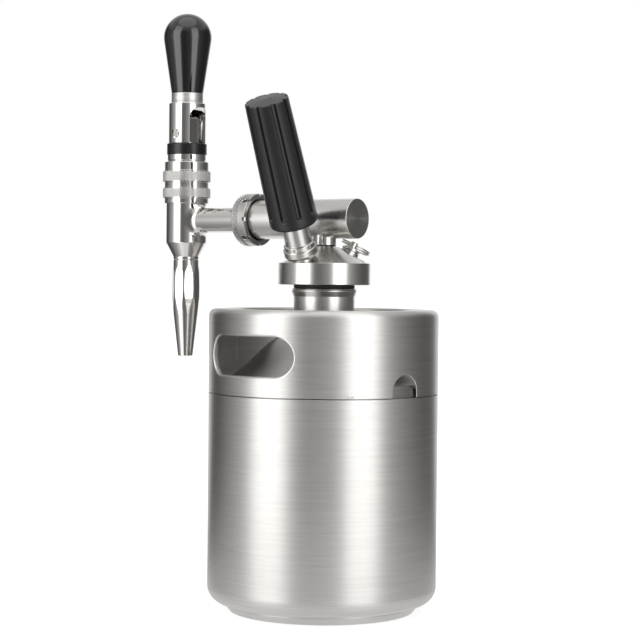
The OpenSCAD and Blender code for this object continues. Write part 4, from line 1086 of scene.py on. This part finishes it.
class KEG_OT_shoulder(bpy.types.Operator):
    """Build the shoulder, the neck and its seal"""
    bl_idname = "keg.shoulder"
    bl_label = "Shoulder, neck and seal"

    def execute(self, context):
        low, high = span("vessel_shoulder")
        wall = mm("wall")
        r = mm("neck_radius")
        neck = r + 0.05
        lap = high.x - 1.3
        ledge = low.z + 14.4
        run = lap - 2.5 - neck
        tall = high.z - ledge

        def slope(depth, part):
            lean = math.atan(tall * math.pi / 2 * math.sin(math.pi * part) / run)
            return (neck + run * (1 - part) - depth * math.sin(lean),
                    ledge + tall * (1 - math.cos(math.pi * part)) / 2 - depth * math.cos(lean), 500.0)

        parts = [i / 24 for i in range(1, 25)]
        spun_piece("shoulder", [
            (lap - wall, low.z, 0.2), (lap, low.z, 0.2), (lap, ledge, 2.5), *[slope(0, t) for t in parts],
            *[slope(wall, t) for t in reversed(parts)], (lap - wall, ledge - wall, 1.5)],
            keg_place(), 180, "keg", "shoulder_steel", "vessel_shoulder")
        low, high = span("keg_neck")
        mouth = mm("mouth_radius") + THREAD_DEPTH
        top = high.z
        turns = thread(mouth, -THREAD_DEPTH, top - (THREAD_TURNS + 1) * THREAD_PITCH)
        spun_piece("neck", [
            (mouth, low.z), (r, low.z), (r, top - 6.0, 2.0), (r + 1.5, top - 2.2, 1.2),
            (r + 0.9, top - 0.4, 0.8), (r - 0.6, top, 0.4), (mouth, top, 0.3), *reversed(turns)],
            keg_place(), 160, "keg", "brushed_neck", "keg_neck")
        low, high = span("lid_seal")
        r = high.x
        spun_piece("neck_seal", [(r - 2.5, low.z), (r, low.z, 0.6), (r, high.z, 0.6), (r - 2.5, high.z)],
                   at(), 120, "lid_gasket", "rubber", "lid_seal")
        return {"FINISHED"}


# Lid, tube and coupling

class KEG_OT_lid(bpy.types.Operator):
    """Build the lid with its cone and threaded plug, and the dip tube"""
    bl_idname = "keg.lid"
    bl_label = "Lid and dip tube"

    def execute(self, context):
        low, high = span("lid_cap")
        r, cap = high.x, span("lid_seal")[1].z
        side = cap + mm("cap_height")
        core = mm("mouth_radius") - 0.2 - THREAD_DEPTH
        spun_piece("lid", [
            (0, low.z), (core, low.z, 0.4), *thread(core, THREAD_DEPTH, low.z + 1.2), (core, cap),
            (r, cap, 0.5), (r, side, 0.35), (r - 2.3, side + 0.3, 0.3),
            (mm("post_radius") + 1.0, high.z, 0.8), (0, high.z)],
            at(), 240, "head", "turned_lid", "lid_cap")
        low, high = span("dip_tube")
        r = high.x
        spun_piece("dip_pipe", [(r - 1, low.z, 0.2), (r, low.z, 0.4), (r, high.z), (r - 1, high.z)],
                   at(), 64, "head", "plain_steel", "dip_tube")
        return {"FINISHED"}


class KEG_OT_tube(bpy.types.Operator):
    """Build the post and the tap tube"""
    bl_idname = "keg.tube"
    bl_label = "Post and tube"

    def execute(self, context):
        low, high = span("tap_tube")
        r, end = high.x, high.y
        spun_piece("tube", [
            (0, low.y), (r - 0.55, low.y), (r - 0.55, low.y + 5), (r, low.y + 5.55, 0.2),
            (r, end - 0.02, 0.45), (0, end - 0.02)], tube_place(), 200, "head", "turned_tube", "tap_tube")
        disc = [(0, end - 0.6), (r - 0.42, end - 0.6), (r - 0.42, end, 0.03), (r - 0.7, end)]
        rings = 26
        pitch = (r - 0.7) / rings
        for k in range(rings):
            edge = r - 0.7 - k * pitch
            disc += [(edge - pitch / 2, end - 0.075 * pitch, 0.05), (edge - pitch, end, 0.05)]
        disc[-1] = (0, end)
        spun_piece("tube_face", disc, tube_place(), 200, "head", "face_steel")
        post, foot = mm("post_radius"), span("lid_cap")[1].z
        base, top = foot + 0.8, (low.z + high.z) / 2 - 6.0
        spun_piece("post", [(0, base), (post, base, 0.4), (post, top), (0, top)],
                   at(), 96, "head", "post_steel", "riser_post")
        spun_piece("post_gasket", [
            (post - 2, foot), (post - 0.05, foot, 0.3), (post - 0.05, base, 0.3), (post - 2, base)],
            at(), 64, "head", "rubber", "post_seal")
        return {"FINISHED"}


class KEG_OT_coupling(bpy.types.Operator):
    """Build the coupling nut with its knurl, spanner holes and notches"""
    bl_idname = "keg.coupling"
    bl_label = "Coupling nut"

    def execute(self, context):
        low, high = span("coupling_nut")
        r, width = high.x, high.y - low.y
        inside = span("tap_tube")[1].x + 0.15
        shank = mm("shank_radius") + 0.3
        split = width * 0.45
        root = r - KNURL_STEP
        place = nut_place()
        hole = outline([(0, -3.5), (1.75, -3.5), (1.75, -0.5), (2.35, 0.25), (2.35, 2.0), (0, 2.0)])
        cutters = [
            moved(spin(hole, 32), place @ about((i + 0.5) * 90) @ at(r, 0, width * 0.7) @ about(90, "Y"))
            for i in range(4)]
        notch = block(-2.2, 1.5, 1.5, width - 1.8, width + 1)
        cutters += [moved(notch, place @ about(i * 45) @ at(r)) for i in range(8)]
        cut_piece("coupling", [
            (shank, 0), (root, 0, 0.9), (root, split - 0.3, 0.2), (r - 0.9, split, 0.2),
            (r, split + 0.7, 0.3), (r, width, 0.7), (inside + 1.2, width, 0.3), (inside, width - 1.6),
            (inside, 3.0), (shank, 3.0)],
            place, 200, cutters, 0.16, "head", "nut_steel", "coupling_nut")
        knurl_band("coupling_knurl", root, 0.8, split - 0.35, place, "nut_knurl")
        return {"FINISHED"}


# Tap body and spout

def soft_least(a, b, width):
    """The smaller of two sizes, rounded where they meet."""
    mix = np.clip(0.5 + 0.5 * (b - a) / width, 0, 1)
    return b * (1 - mix) + a * mix - width * mix * (1 - mix)


def shank_skins(body_r):
    """Shank with a fillet that runs on from the round tap body."""
    shank, fillet = mm("shank_radius"), mm("shank_fillet")
    steps = 144
    angle = np.linspace(0, 2 * math.pi, steps + 1)[:-1]
    rows = []
    for i in range(13):
        t = math.radians(7.5 * i)
        ring = ring_of(shank + fillet * (1 - math.sin(t)), angle, 0)
        ring[:, 2] = np.sqrt(np.maximum(body_r ** 2 - ring[:, 0] ** 2, 0.0)) + fillet * (1 - math.cos(t))
        rows.append(ring)
    low, high = span("coupling_washer")
    end = low.y + mm("tap_reach")
    flange = end - 3.0
    rows.append(ring_of(shank, angle, flange))
    grid = np.array(rows)
    normals = grid_normals(grid)
    normals[-2:] = ring_of(1.0, angle, 0)
    rest = outline([(0, flange), (high.x, flange, 0.3), (high.x, end, 0.3), (0, end)])
    return [loft(grid, normals, True), spin(rest, steps)]


class KEG_OT_tap_body(bpy.types.Operator):
    """Build the tap body with its shank"""
    bl_idname = "keg.tap_body"
    bl_label = "Tap body"

    def execute(self, context):
        low, high = span("faucet_body")
        r, neck = high.x, low.z
        body = spin(outline([
            (0, neck), (9.25, neck, 0.2), (9.65, neck + 0.4, 0.2), (9.65, neck + 2.1, 1.6),
            (r, high.z - 30.3, 2.0), (r, high.z, 0.35), (0, high.z)]), 200)
        shank = [moved(s, tube_place(-mm("tap_reach"))) for s in shank_skins(r)]
        skin_piece("tap_body", [moved(body, tap_place()), *shank], at(), "head", "polished_tap",
                   "faucet_body")
        return {"FINISHED"}


class KEG_OT_spout(bpy.types.Operator):
    """Build the long spout with its flats"""
    bl_idname = "keg.spout"
    bl_label = "Spout"

    def execute(self, context):
        low, high = span("spout_nozzle")
        top, tip = high.z - 5.0, low.z
        mouth, hole, lip = 3.6, 4.0, 6.5
        rim = top - 0.1
        cone = outline([
            (mouth + 0.2, tip), (5.6, tip, 0.4), (10.7, top - (top - tip) * 0.4, 120.0),
            (10.15, top - 8.2, 3.0), (9.65, top - 4.2, 2.5), (9.65, rim, 0.4), (lip, rim)], False)
        step = tip + 23.26
        inside = outline([
            (lip, rim), (lip, high.z), (5.4, high.z), (5.4, high.z - 1.2), (hole, high.z - 1.2), (hole, step),
            (mouth, step), (mouth, tip, 0.3), (mouth + 0.2, tip)], False)
        steps = 320
        angle = 2 * math.pi * np.arange(steps) / steps
        flat_top, flat_length, flat_depth, flat_turn, flat_step = top - 4.6, 36.0, 0.62, 7.5, 45
        leaf = [0, 0.06, 0.15, 0.3, 0.5, 0.65, 0.8, 0.9, 1.0]
        cut = [0, 0.3, 0.78, 0.95, 1.0, 0.78, 0.38, 0.15, 0]
        half = flat_step / 2
        near_flat = np.cos(np.radians((np.degrees(angle) - flat_turn + half) % flat_step - half))

        def radii(r, z):
            bite = flat_depth * np.interp((flat_top - z) / flat_length, leaf, cut)
            return soft_least(r, (r - bite) / near_flat, 0.12) if bite > 0 else np.full(steps, r)

        skins = [shaped_spin(stations(cone, 0.45, math.ceil), angle, radii), spin(inside, steps)]
        skin_piece("spout", skins, tap_place(), "head", "polished_tap", "spout_nozzle")
        return {"FINISHED"}


def collar(low, ledge, waist, high, r, edges):
    """Outline of a collar with a wider band between two steps."""
    root = r - KNURL_STEP
    return [
        (BONNET_BORE, low), (BONNET_STEP, low, edges[0]), (BONNET_STEP, ledge, 0.2), (root, ledge, 0.5),
        (root, waist, 0.5), (BONNET_STEP, waist, 0.2), (BONNET_STEP, high, edges[1]), (BONNET_BORE, high)]


class KEG_OT_bonnet(bpy.types.Operator):
    """Build the bonnet, its knurled nut and lock ring, and the friction ring"""
    bl_idname = "keg.bonnet"
    bl_label = "Bonnet and friction ring"

    def execute(self, context):
        place = tap_place()
        low, high = span("bonnet_nut")
        r, top = high.x, span("lock_ring")[1].z
        waist, crown = high.z - 1.9, top - 6.4
        for name, node, base, foot, tip, end, edges in (
                ("bonnet", "bonnet_nut", low.z, low.z, waist, high.z, (0.5, 0.15)),
                ("lock", "lock_ring", high.z, waist, crown, top, (0.15, 0.6))):
            points = collar(base, foot + BONNET_RISE, tip, end, r, edges)
            spun_piece(f"{name}_collar", points, place, 160, "head", "ring_polish", node)
            knurl_band(f"{name}_knurl", r - KNURL_STEP, foot + BONNET_RISE + 0.3, tip - 0.3, place,
                       "bonnet_knurl_steel")
        low, high = span("bonnet_core")
        stem, core, guide = 6.45, 13.4, 14.7
        spun_piece("bonnet_stem_guide", [
            (stem, low.z), (12.0, low.z, 0.4), (12.0, low.z + 10.6), (core, low.z + 10.6), (core, top),
            (guide, top, 0.2), (guide, top + 0.6, 0.1), (guide - 0.6, top + 1.0, 0.1),
            (guide, top + 1.4, 0.1), (guide, high.z, 0.3), (stem, high.z)],
            place, 128, "head", "polished_tap", "bonnet_core")
        low, high = span("friction_ring")
        spun_piece("drag_ring", [
            (stem, low.z), (high.x, low.z, 0.3), (high.x, high.z, 0.8), (stem, high.z, 0.3)],
            place, 128, "head", "ring_black", "friction_ring")
        return {"FINISHED"}


class KEG_OT_lever(bpy.types.Operator):
    """Build the lever with its arched opening, its pin and the stem's tongue"""
    bl_idname = "keg.lever"
    bl_label = "Lever and pin"

    def execute(self, context):
        place = tap_place()
        low, high = span("lever")
        r, y0, pin = high.x, -mm("tap_reach"), low.z + 7.1
        back = at(0, y0) @ about(90, "X")
        roof, half, corner, dish = high.z - 6.0, 9.3, 5.0, 3.75
        arch = [(-half, low.z - 1), (half, low.z - 1), *rounded_top(half, roof, corner, 12)]
        wide = [(x * 1.38, max(low.z - 1, z + 3.2 * (z > roof - corner - 0.1))) for x, z in arch]
        cutters = [moved(prism(arch, -(r + 1), 10.0), back),
                   moved(prism(arch, -(r + 0.6), -(r - 3.4), wide), back)]
        cutters += [bore(dish, -1.9, 1.0, 64, at(0, y0, pin) @ about(side, "Y") @ at(0, 0, r))
                    for side in (-90, 90)]
        walls = [round_wall(corner, at(side, 0, roof - corner) @ about(90, "X"))
                 for side in (half - corner, corner - half)]
        walls.append(round_wall(dish, at(0, y0, pin) @ about(90, "Y")))
        cut_piece("lever_body", [(0, low.z), (r, low.z, 0.4), (r, high.z, 0.7), (0, high.z)], place, 200,
                  cutters, 0.22, "tap_handle", "polished_tap", "lever", walls)
        side, top = 8.93, pin + (roof - pin - 6.3) / 0.94
        flat = [(-side, low.z + 1.2), (side, low.z + 1.2), *rounded_top(side, top, 4.0, 8)]
        tongue = add_object("stem_tongue", make_mesh("stem_tongue", [moved(prism(flat, -5.6, 5.6), back)]))
        carve(tongue, [], [], 0.5)
        dress(tongue, "valve", "plain_steel")
        reach, head, neck = 13.3, 2.7, 2.2
        spun_piece("pivot_pin", [
            (0, -reach), (head, -reach, 0.5), (head, 1 - reach), (neck, 1 - reach), (neck, reach - 1),
            (head, reach - 1), (head, reach, 0.5), (0, reach)],
            at(0, y0, pin) @ about(90, "Y"), 64, "tap_handle", "plain_steel", "lever_pin")
        return {"FINISHED"}


class KEG_OT_knob(bpy.types.Operator):
    """Build the knob and its ferrule"""
    bl_idname = "keg.knob"
    bl_label = "Knob and ferrule"

    def execute(self, context):
        low, high = span("knob_ferrule")
        r, stud = high.x, 4.05
        spun_piece("ferrule", [
            (stud, low.z), (r, low.z, 0.3), (r, low.z + 0.9, 0.1), (r - 0.3, low.z + 1.2, 0.1),
            (r, low.z + 1.5, 0.1), (r, high.z, 0.35), (stud, high.z)],
            tap_place(), 120, "tap_handle", "ferrule_steel", "knob_ferrule")
        low, high = span("knob")
        r, foot = high.x, 12.0
        ball = high.z - r
        lean = math.asin((r - foot) / math.hypot(ball - low.z - 0.5, r - foot))
        points = [(0, low.z), (foot, low.z, 0.6)]
        for a in np.linspace(-lean, math.pi / 2, 49):
            points.append((r * math.cos(a), ball + r * math.sin(a), 100.0))
        points[-1] = (0, high.z)
        spun_piece("black_knob", points, tap_place(), 128, "tap_handle", "knob_black", "knob")
        return {"FINISHED"}


# Gas inlet, sleeve and relief valve

class KEG_OT_inlet(bpy.types.Operator):
    """Build the gas inlet with its collar and notches"""
    bl_idname = "keg.inlet"
    bl_label = "Gas inlet"

    def execute(self, context):
        place = port_place()
        ledge, barrel = 11.0, 9.7
        cutters = [moved(block(-0.8, 1.5, 1.2, 16.5, 28.5), place @ about(-30) @ at(barrel))]
        notch = block(-1.2, 1.5, 1.5, 9.6, 12.0)
        cutters += [moved(notch, place @ about(12 + 60 * i) @ at(ledge)) for i in range(6)]
        cut_piece("inlet", [
            (0, -12), (6.9, -12), (6.9, -2), (7.4, -2), (7.4, 2.6), (10.6, 2.6, 0.3), (12.1, 4.6, 0.5),
            (12.1, 9, 0.8), (ledge, 9.2, 0.2), (ledge, 12.2, 0.5), (barrel, 12.7, 0.3), (barrel, 27.5, 0.4),
            (9, 27.5), (9, 35.5, 0.5), (4.7, 35.5), (4.7, 22), (0, 22)],
            place, 160, cutters, 0.15, "head", "turned_inlet", "inlet_body")
        return {"FINISHED"}


class KEG_OT_sleeve(bpy.types.Operator):
    """Build the fluted sleeve that holds the gas cartridge"""
    bl_idname = "keg.sleeve"
    bl_label = "Cartridge sleeve"

    def execute(self, context):
        place = port_place()
        count = context.scene.keg_head.flutes
        foot_r, top_r, mouth = 17.2, 15.3, 10.0
        start, tall = 26.9, 93.0
        end, first = start + tall, start + 9.5
        bed_half, flute_half = 0.95, 2.0
        flute_steps = 60
        steps = count * flute_steps
        angle = 2 * math.pi * np.arange(steps) / steps + math.radians(SLEEVE_PHASE)
        gap = (np.arange(steps) % flute_steps) * 360 / steps
        gap = np.radians(np.minimum(gap, 360 / count - gap))
        profile = outline([(mouth, start), (foot_r, start, 2.6), (top_r, end - 0.8, 0.9), (0, end)], False)

        def radii(r, z):
            wall = foot_r + (top_r - foot_r) * (z - start) / tall
            away = np.hypot(wall * gap, min(0.0, z - first))
            bed = 0.5 + 0.5 * np.cos(math.pi * np.clip((away - bed_half) / (flute_half - bed_half), 0, 1))
            return np.minimum(r, np.where(bed > 0, wall - mm("flute_depth") * bed, 1e3))

        floor, step = end - 3.8, start + 11.8
        inner = spin(outline([
            (0, floor), (11.3, floor, 0.5), (11.3, step), (13.45, step), (13.45, start + 0.8),
            (mouth, start + 0.8), (mouth, start)], False), 96)
        outer = shaped_spin(stations(profile, 0.9, round), angle, radii)
        obj = add_object("sleeve", make_mesh("sleeve", [outer, inner], place))
        lean = math.degrees(math.atan((foot_r - top_r) / tall))
        cutters = [bore(1.0, -3.0, 2.0, 24, place @ at(-1.2, 2.6, end))]
        cutters += [
            bore(0.85, -1.3, 1.0, 20, place @ about(SLEEVE_PHASE + 360 * i / count)
                 @ at(foot_r - 0.15, 0, first) @ about(90 - lean, "Y"), 0.2) for i in range(count)]
        carve(obj, cutters, [], 0.0, 40.0)
        dress(obj, "sleeve", "sleeve_black", "cartridge_sleeve")
        return {"FINISHED"}


class KEG_OT_relief(bpy.types.Operator):
    """Build the relief valve, its eye and its pull ring"""
    bl_idname = "keg.relief"
    bl_label = "Relief valve and ring"

    def execute(self, context):
        place = relief_place()
        wide, plug, cap = 6.75, 4.9, 5.2
        cutters = [bore(0.7, -2.0, 1.0, 20, place @ about(45 + 90 * i) @ at(wide, 0, 2.59) @ about(90, "Y"))
                   for i in range(4)]
        cut_piece("relief_valve_body", [
            (0, -10), (plug, -10), (plug, -1), (wide, -1), (wide, 1.2, 0.15), (wide - 0.5, 1.8, 0.1),
            (wide, 2.4, 0.15), (wide, 3.6, 0.5), (cap, 3.6, 0.2), (cap, 4.5, 0.35), (0, 4.5)],
            place, 96, cutters, 0.0, "head", "plain_steel", "relief_body")
        eye = place @ about(EYE_TURN) @ at(0, 0, EYE_HEIGHT)
        cut_piece("relief_eye", [
            (0, -7.3), (3, -7.3, 0.2), (3, -6.1), (1.5, -6.1), (1.5, 4.8), (2.7, 4.8, 0.5), (2.7, 9.4, 0.8),
            (0, 9.4)], place, 64, [bore(1.6, -5.0, 5.0, 40, eye @ about(90, "Y"))], 0.2, "relief_valve",
            "plain_steel", "relief_stem")
        wire = mm("ring_wire")
        pitch = wire + 0.46
        radius = (22.9 - wire) / 2
        lie = eye @ about(7, "X") @ at(0, radius, -pitch) @ about(90)
        wound_wire("split_key_ring", radius, wire, 2 * pitch, 2.0, 96, lie, "split_ring", "pull_ring")
        return {"FINISHED"}


class KEG_OT_springs(bpy.types.Operator):
    """Build the three springs inside the valves"""
    bl_idname = "keg.springs"
    bl_label = "Springs"

    def execute(self, context):
        low, high = span("valve_spring")
        rows = [
            ("valve_coil", "valve_spring", 6.9, 1.2, high.z - low.z - 1.2, 7.0,
             tap_place() @ at(0, 0, low.z + 0.6), "valve_lift", 4.852, True),
            ("check_coil", "check_spring", 2.2, 0.7, 10.3, 5.0,
             port_place() @ at(0, 0, -8.65), "check_open", 1.5, False),
            ("relief_coil", "relief_spring", 2.5, 0.8, 8.3, 5.0,
             relief_place() @ at(0, 0, -5.7), "relief_pull", 1.2, True),
        ]
        for name, node, radius, wire, tall, turns, place, joint, travel, far_end in rows:
            coil = wound_wire(name, radius, wire, tall, turns, 32, place, "head", node)
            axis = place.to_3x3() @ Vector((0, 0, 1))
            fixed = (place @ Vector((0, 0, tall if far_end else 0))) / MM
            1 - travel / tall
            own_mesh(coil)
        return {"FINISHED"}


class KEG_OT_inner(bpy.types.Operator):
    """Give the carried-over inner pieces their finishes"""
    bl_idname = "keg.inner"
    bl_label = "Inner pieces"

    def execute(self, context):
        rows = {
            "plain_steel": ("dip_nut", "restrictor_plate", "knob_stud", "check_cage", "piercing_pin",
                            "gas_cartridge", "valve_stem"),
            "rubber": ("dip_oring", "coupling_washer", "spout_seal", "valve_seal", "stem_oring", "gas_seal",
                       "relief_seal"),
            "brass": ("check_poppet", "sleeve_insert"),
            "white_plastic": ("flow_straightener",),
        }
        for skin, nodes in rows.items():
            for node in nodes:
                obj = frame["nodes"][node]
                obj.data.materials.clear()
                obj.data.materials.append(finish(skin))
        return {"FINISHED"}


# Stage

def area_lamp(name, direction, width, level):
    """A tall soft lamp that faces the keg, given by the brightness of its face."""
    tall, distance, height, aim = 1.7, 1.2, 0.62, 0.3
    light = bpy.data.lights.new(name, "AREA")
    light.shape = "RECTANGLE"
    light.size = width
    light.size_y = tall
    light.energy = level * math.pi * width * tall
    lamp = add_object(name, light)
    spot = Vector((math.cos(direction) * distance, math.sin(direction) * distance, height))
    lamp.location = spot
    lamp.rotation_euler = (Vector((0, 0, aim)) - spot).to_track_quat("-Z", "Y").to_euler()
    lamp.visible_camera = False


# Direction round the keg in degrees from the camera, and the brightness of the room there
ROOM = (
    (-180, 1.05), (-153, 1.05), (-148, 0.3), (-141, 0.06), (-118, 0.12), (-100, 0.3), (-86, 0.42),
    (-76, 0.7), (-70, 1.45), (-38, 1.45), (-32, 0.5), (-25, 0.2), (-18, 0.16), (-10, 0.18), (2, 0.28),
    (12, 0.36), (20, 0.6), (25, 1.45), (52, 1.45), (58, 0.7), (66, 0.42), (80, 0.25), (98, 0.14),
    (116, 0.1), (140, 0.14), (147, 0.3), (153, 1.05), (180, 1.05),
)
WHITE = [1, 1, 1, 1]


def room_level(f, studio, x, y):
    """Brightness of the room by direction round the keg, counted from the camera."""
    a = studio.camera_azimuth
    ahead = x * math.cos(a) + y * math.sin(a)
    side = y * math.cos(a) - x * math.sin(a)
    part = f.maths("ARCTAN2", side, ahead) / (2 * math.pi) + 0.5
    stops = [((d + 180) / 360, [v / 2, v / 2, v / 2, 1]) for d, v in ROOM]
    return f.node("ShaderNodeValToRGB", {"stops": stops}, [part]) * (2.0 * studio.room_level)


class KEG_OT_stage(bpy.types.Operator):
    """Build the camera, the lamps, the room light and the floor"""
    bl_idname = "keg.stage"
    bl_label = "Camera, lamps and floor"

    def execute(self, context):
        studio = context.scene.keg_studio
        self.camera(context.scene, studio)
        self.room(context.scene, studio)
        self.floor(studio)
        view = studio.camera_azimuth
        area_lamp("left_lamp", view - math.radians(54), 0.78, studio.lamp_level)
        area_lamp("right_lamp", view + math.radians(39), 0.72, studio.lamp_level)
        return {"FINISHED"}

    def camera(self, scene, studio):
        """The camera at the photograph's angle."""
        a, roll = studio.camera_azimuth, studio.camera_roll
        reach = studio.camera_distance
        spot = Vector((math.cos(a) * reach, math.sin(a) * reach, studio.camera_height))
        side = Vector((-math.sin(a), math.cos(a), 0))
        target = side * -studio.aim_side + Vector((0, 0, studio.aim_height))
        ahead = (target - spot).normalized()
        right = ahead.cross(Vector((0, 0, 1))).normalized()
        up = right.cross(ahead)
        right, up = (right * math.cos(roll) + up * math.sin(roll),
                     up * math.cos(roll) - right * math.sin(roll))
        data = bpy.data.cameras.new("camera")
        data.sensor_width = 36.0
        data.lens = studio.camera_lens
        camera = add_object("camera", data)
        camera.matrix_world = Matrix((
            (right.x, up.x, -ahead.x, spot.x), (right.y, up.y, -ahead.y, spot.y),
            (right.z, up.z, -ahead.z, spot.z), (0, 0, 0, 1)))
        scene.camera = camera

    def room(self, scene, studio):
        """Room light by direction: dark in front, white behind, a soft panel overhead."""
        f = Finish("room", world=True)
        x, y, z = f.split(f.node("ShaderNodeTexCoord"))
        wall = room_level(f, studio, x, y)
        a, tip = studio.camera_azimuth, studio.panel_height
        facing = x * (math.cos(a) * math.cos(tip)) + y * (math.sin(a) * math.cos(tip)) + z * math.sin(tip)
        level = wall + z.smooth(0.36, 0.62) * (studio.dark_level - wall)
        level = level + facing.smooth(0.83, 0.88) * (studio.top_level - level)
        seen = f.node("ShaderNodeLightPath")
        level = level + seen * (1.0 - level)
        scene.world = f.end(f.node("ShaderNodeBackground", None, {"Color": WHITE, "Strength": level}))

    def floor(self, studio):
        """A pale floor: white to the camera, with the room's light in reflections."""
        me = bpy.data.meshes.new("floor")
        corners = [(x * 12.0, y * 12.0, -0.0003) for x, y in ((-1, -1), (1, -1), (1, 1), (-1, 1))]
        me.from_pydata(corners, [], [(0, 1, 2, 3)])
        f = Finish("pale_floor")
        seen = f.node("ShaderNodeLightPath", None, (), "Is Camera Ray")
        shiny = Socket(f, f.last.outputs["Is Glossy Ray"])
        spot = f.place()
        tint = f.mix(f.noise(spot, 0.004), [0.5, 0.5, 0.5, 1], [0.53, 0.53, 0.53, 1])
        diffuse = f.node("ShaderNodeBsdfDiffuse", None, {"Color": tint})
        glow = f.node("ShaderNodeEmission", None, {"Color": WHITE, "Strength": seen * 0.72})
        both = f.node("ShaderNodeAddShader", None, [diffuse, glow])
        x, y = f.split(spot)[:2]
        far = ((x * x + y * y) ** 0.5).smooth(130, 430)
        level = studio.floor_level + far * (room_level(f, studio, x, y) - studio.floor_level)
        mirrored = f.node("ShaderNodeEmission", None, {"Color": WHITE, "Strength": level})
        me.materials.append(f.end(f.node("ShaderNodeMixShader", None, [shiny, both, mirrored])))
        add_object("floor", me)


class KEG_PT_panel(bpy.types.Panel):
    """Buttons that build the keg's pieces"""
    bl_idname = "KEG_PT_panel"
    bl_label = "Nitro coffee keg"
    bl_space_type = "VIEW_3D"
    bl_region_type = "UI"
    bl_category = "Keg"

    def draw(self, context):
        for operator in BUILDERS:
            self.layout.operator(operator.bl_idname)


BUILDERS = (
    KEG_OT_shell, KEG_OT_shoulder, KEG_OT_handle_ring, KEG_OT_lid, KEG_OT_tube, KEG_OT_coupling,
    KEG_OT_tap_body, KEG_OT_spout, KEG_OT_bonnet, KEG_OT_lever, KEG_OT_knob, KEG_OT_inlet, KEG_OT_sleeve,
    KEG_OT_relief, KEG_OT_springs, KEG_OT_inner, KEG_OT_stage,
)
GROUPS = (
    ("keg_sizes", KegSizes), ("keg_head", HeadSizes), ("keg_colours", KegColours),
    ("keg_studio", StudioSettings),
)


def register():
    """Registers the groups, operators and panel."""
    for name, group in GROUPS:
        bpy.utils.register_class(group)
        setattr(bpy.types.Scene, name, bpy.props.PointerProperty(type=group))
    for shown in (*BUILDERS, KEG_PT_panel):
        bpy.utils.register_class(shown)


def unregister():
    """Takes them out again."""
    for shown in (KEG_PT_panel, *reversed(BUILDERS)):
        bpy.utils.unregister_class(shown)
    for name, group in reversed(GROUPS):
        delattr(bpy.types.Scene, name)
        bpy.utils.unregister_class(group)


def main():
    """Builds every piece in order."""
    register()
    bpy.context.scene.view_settings.view_transform = "Standard"
    for operator in BUILDERS:
        area, name = operator.bl_idname.split(".")
        getattr(getattr(bpy.ops, area), name)()


if __name__ == "__main__":
    main()
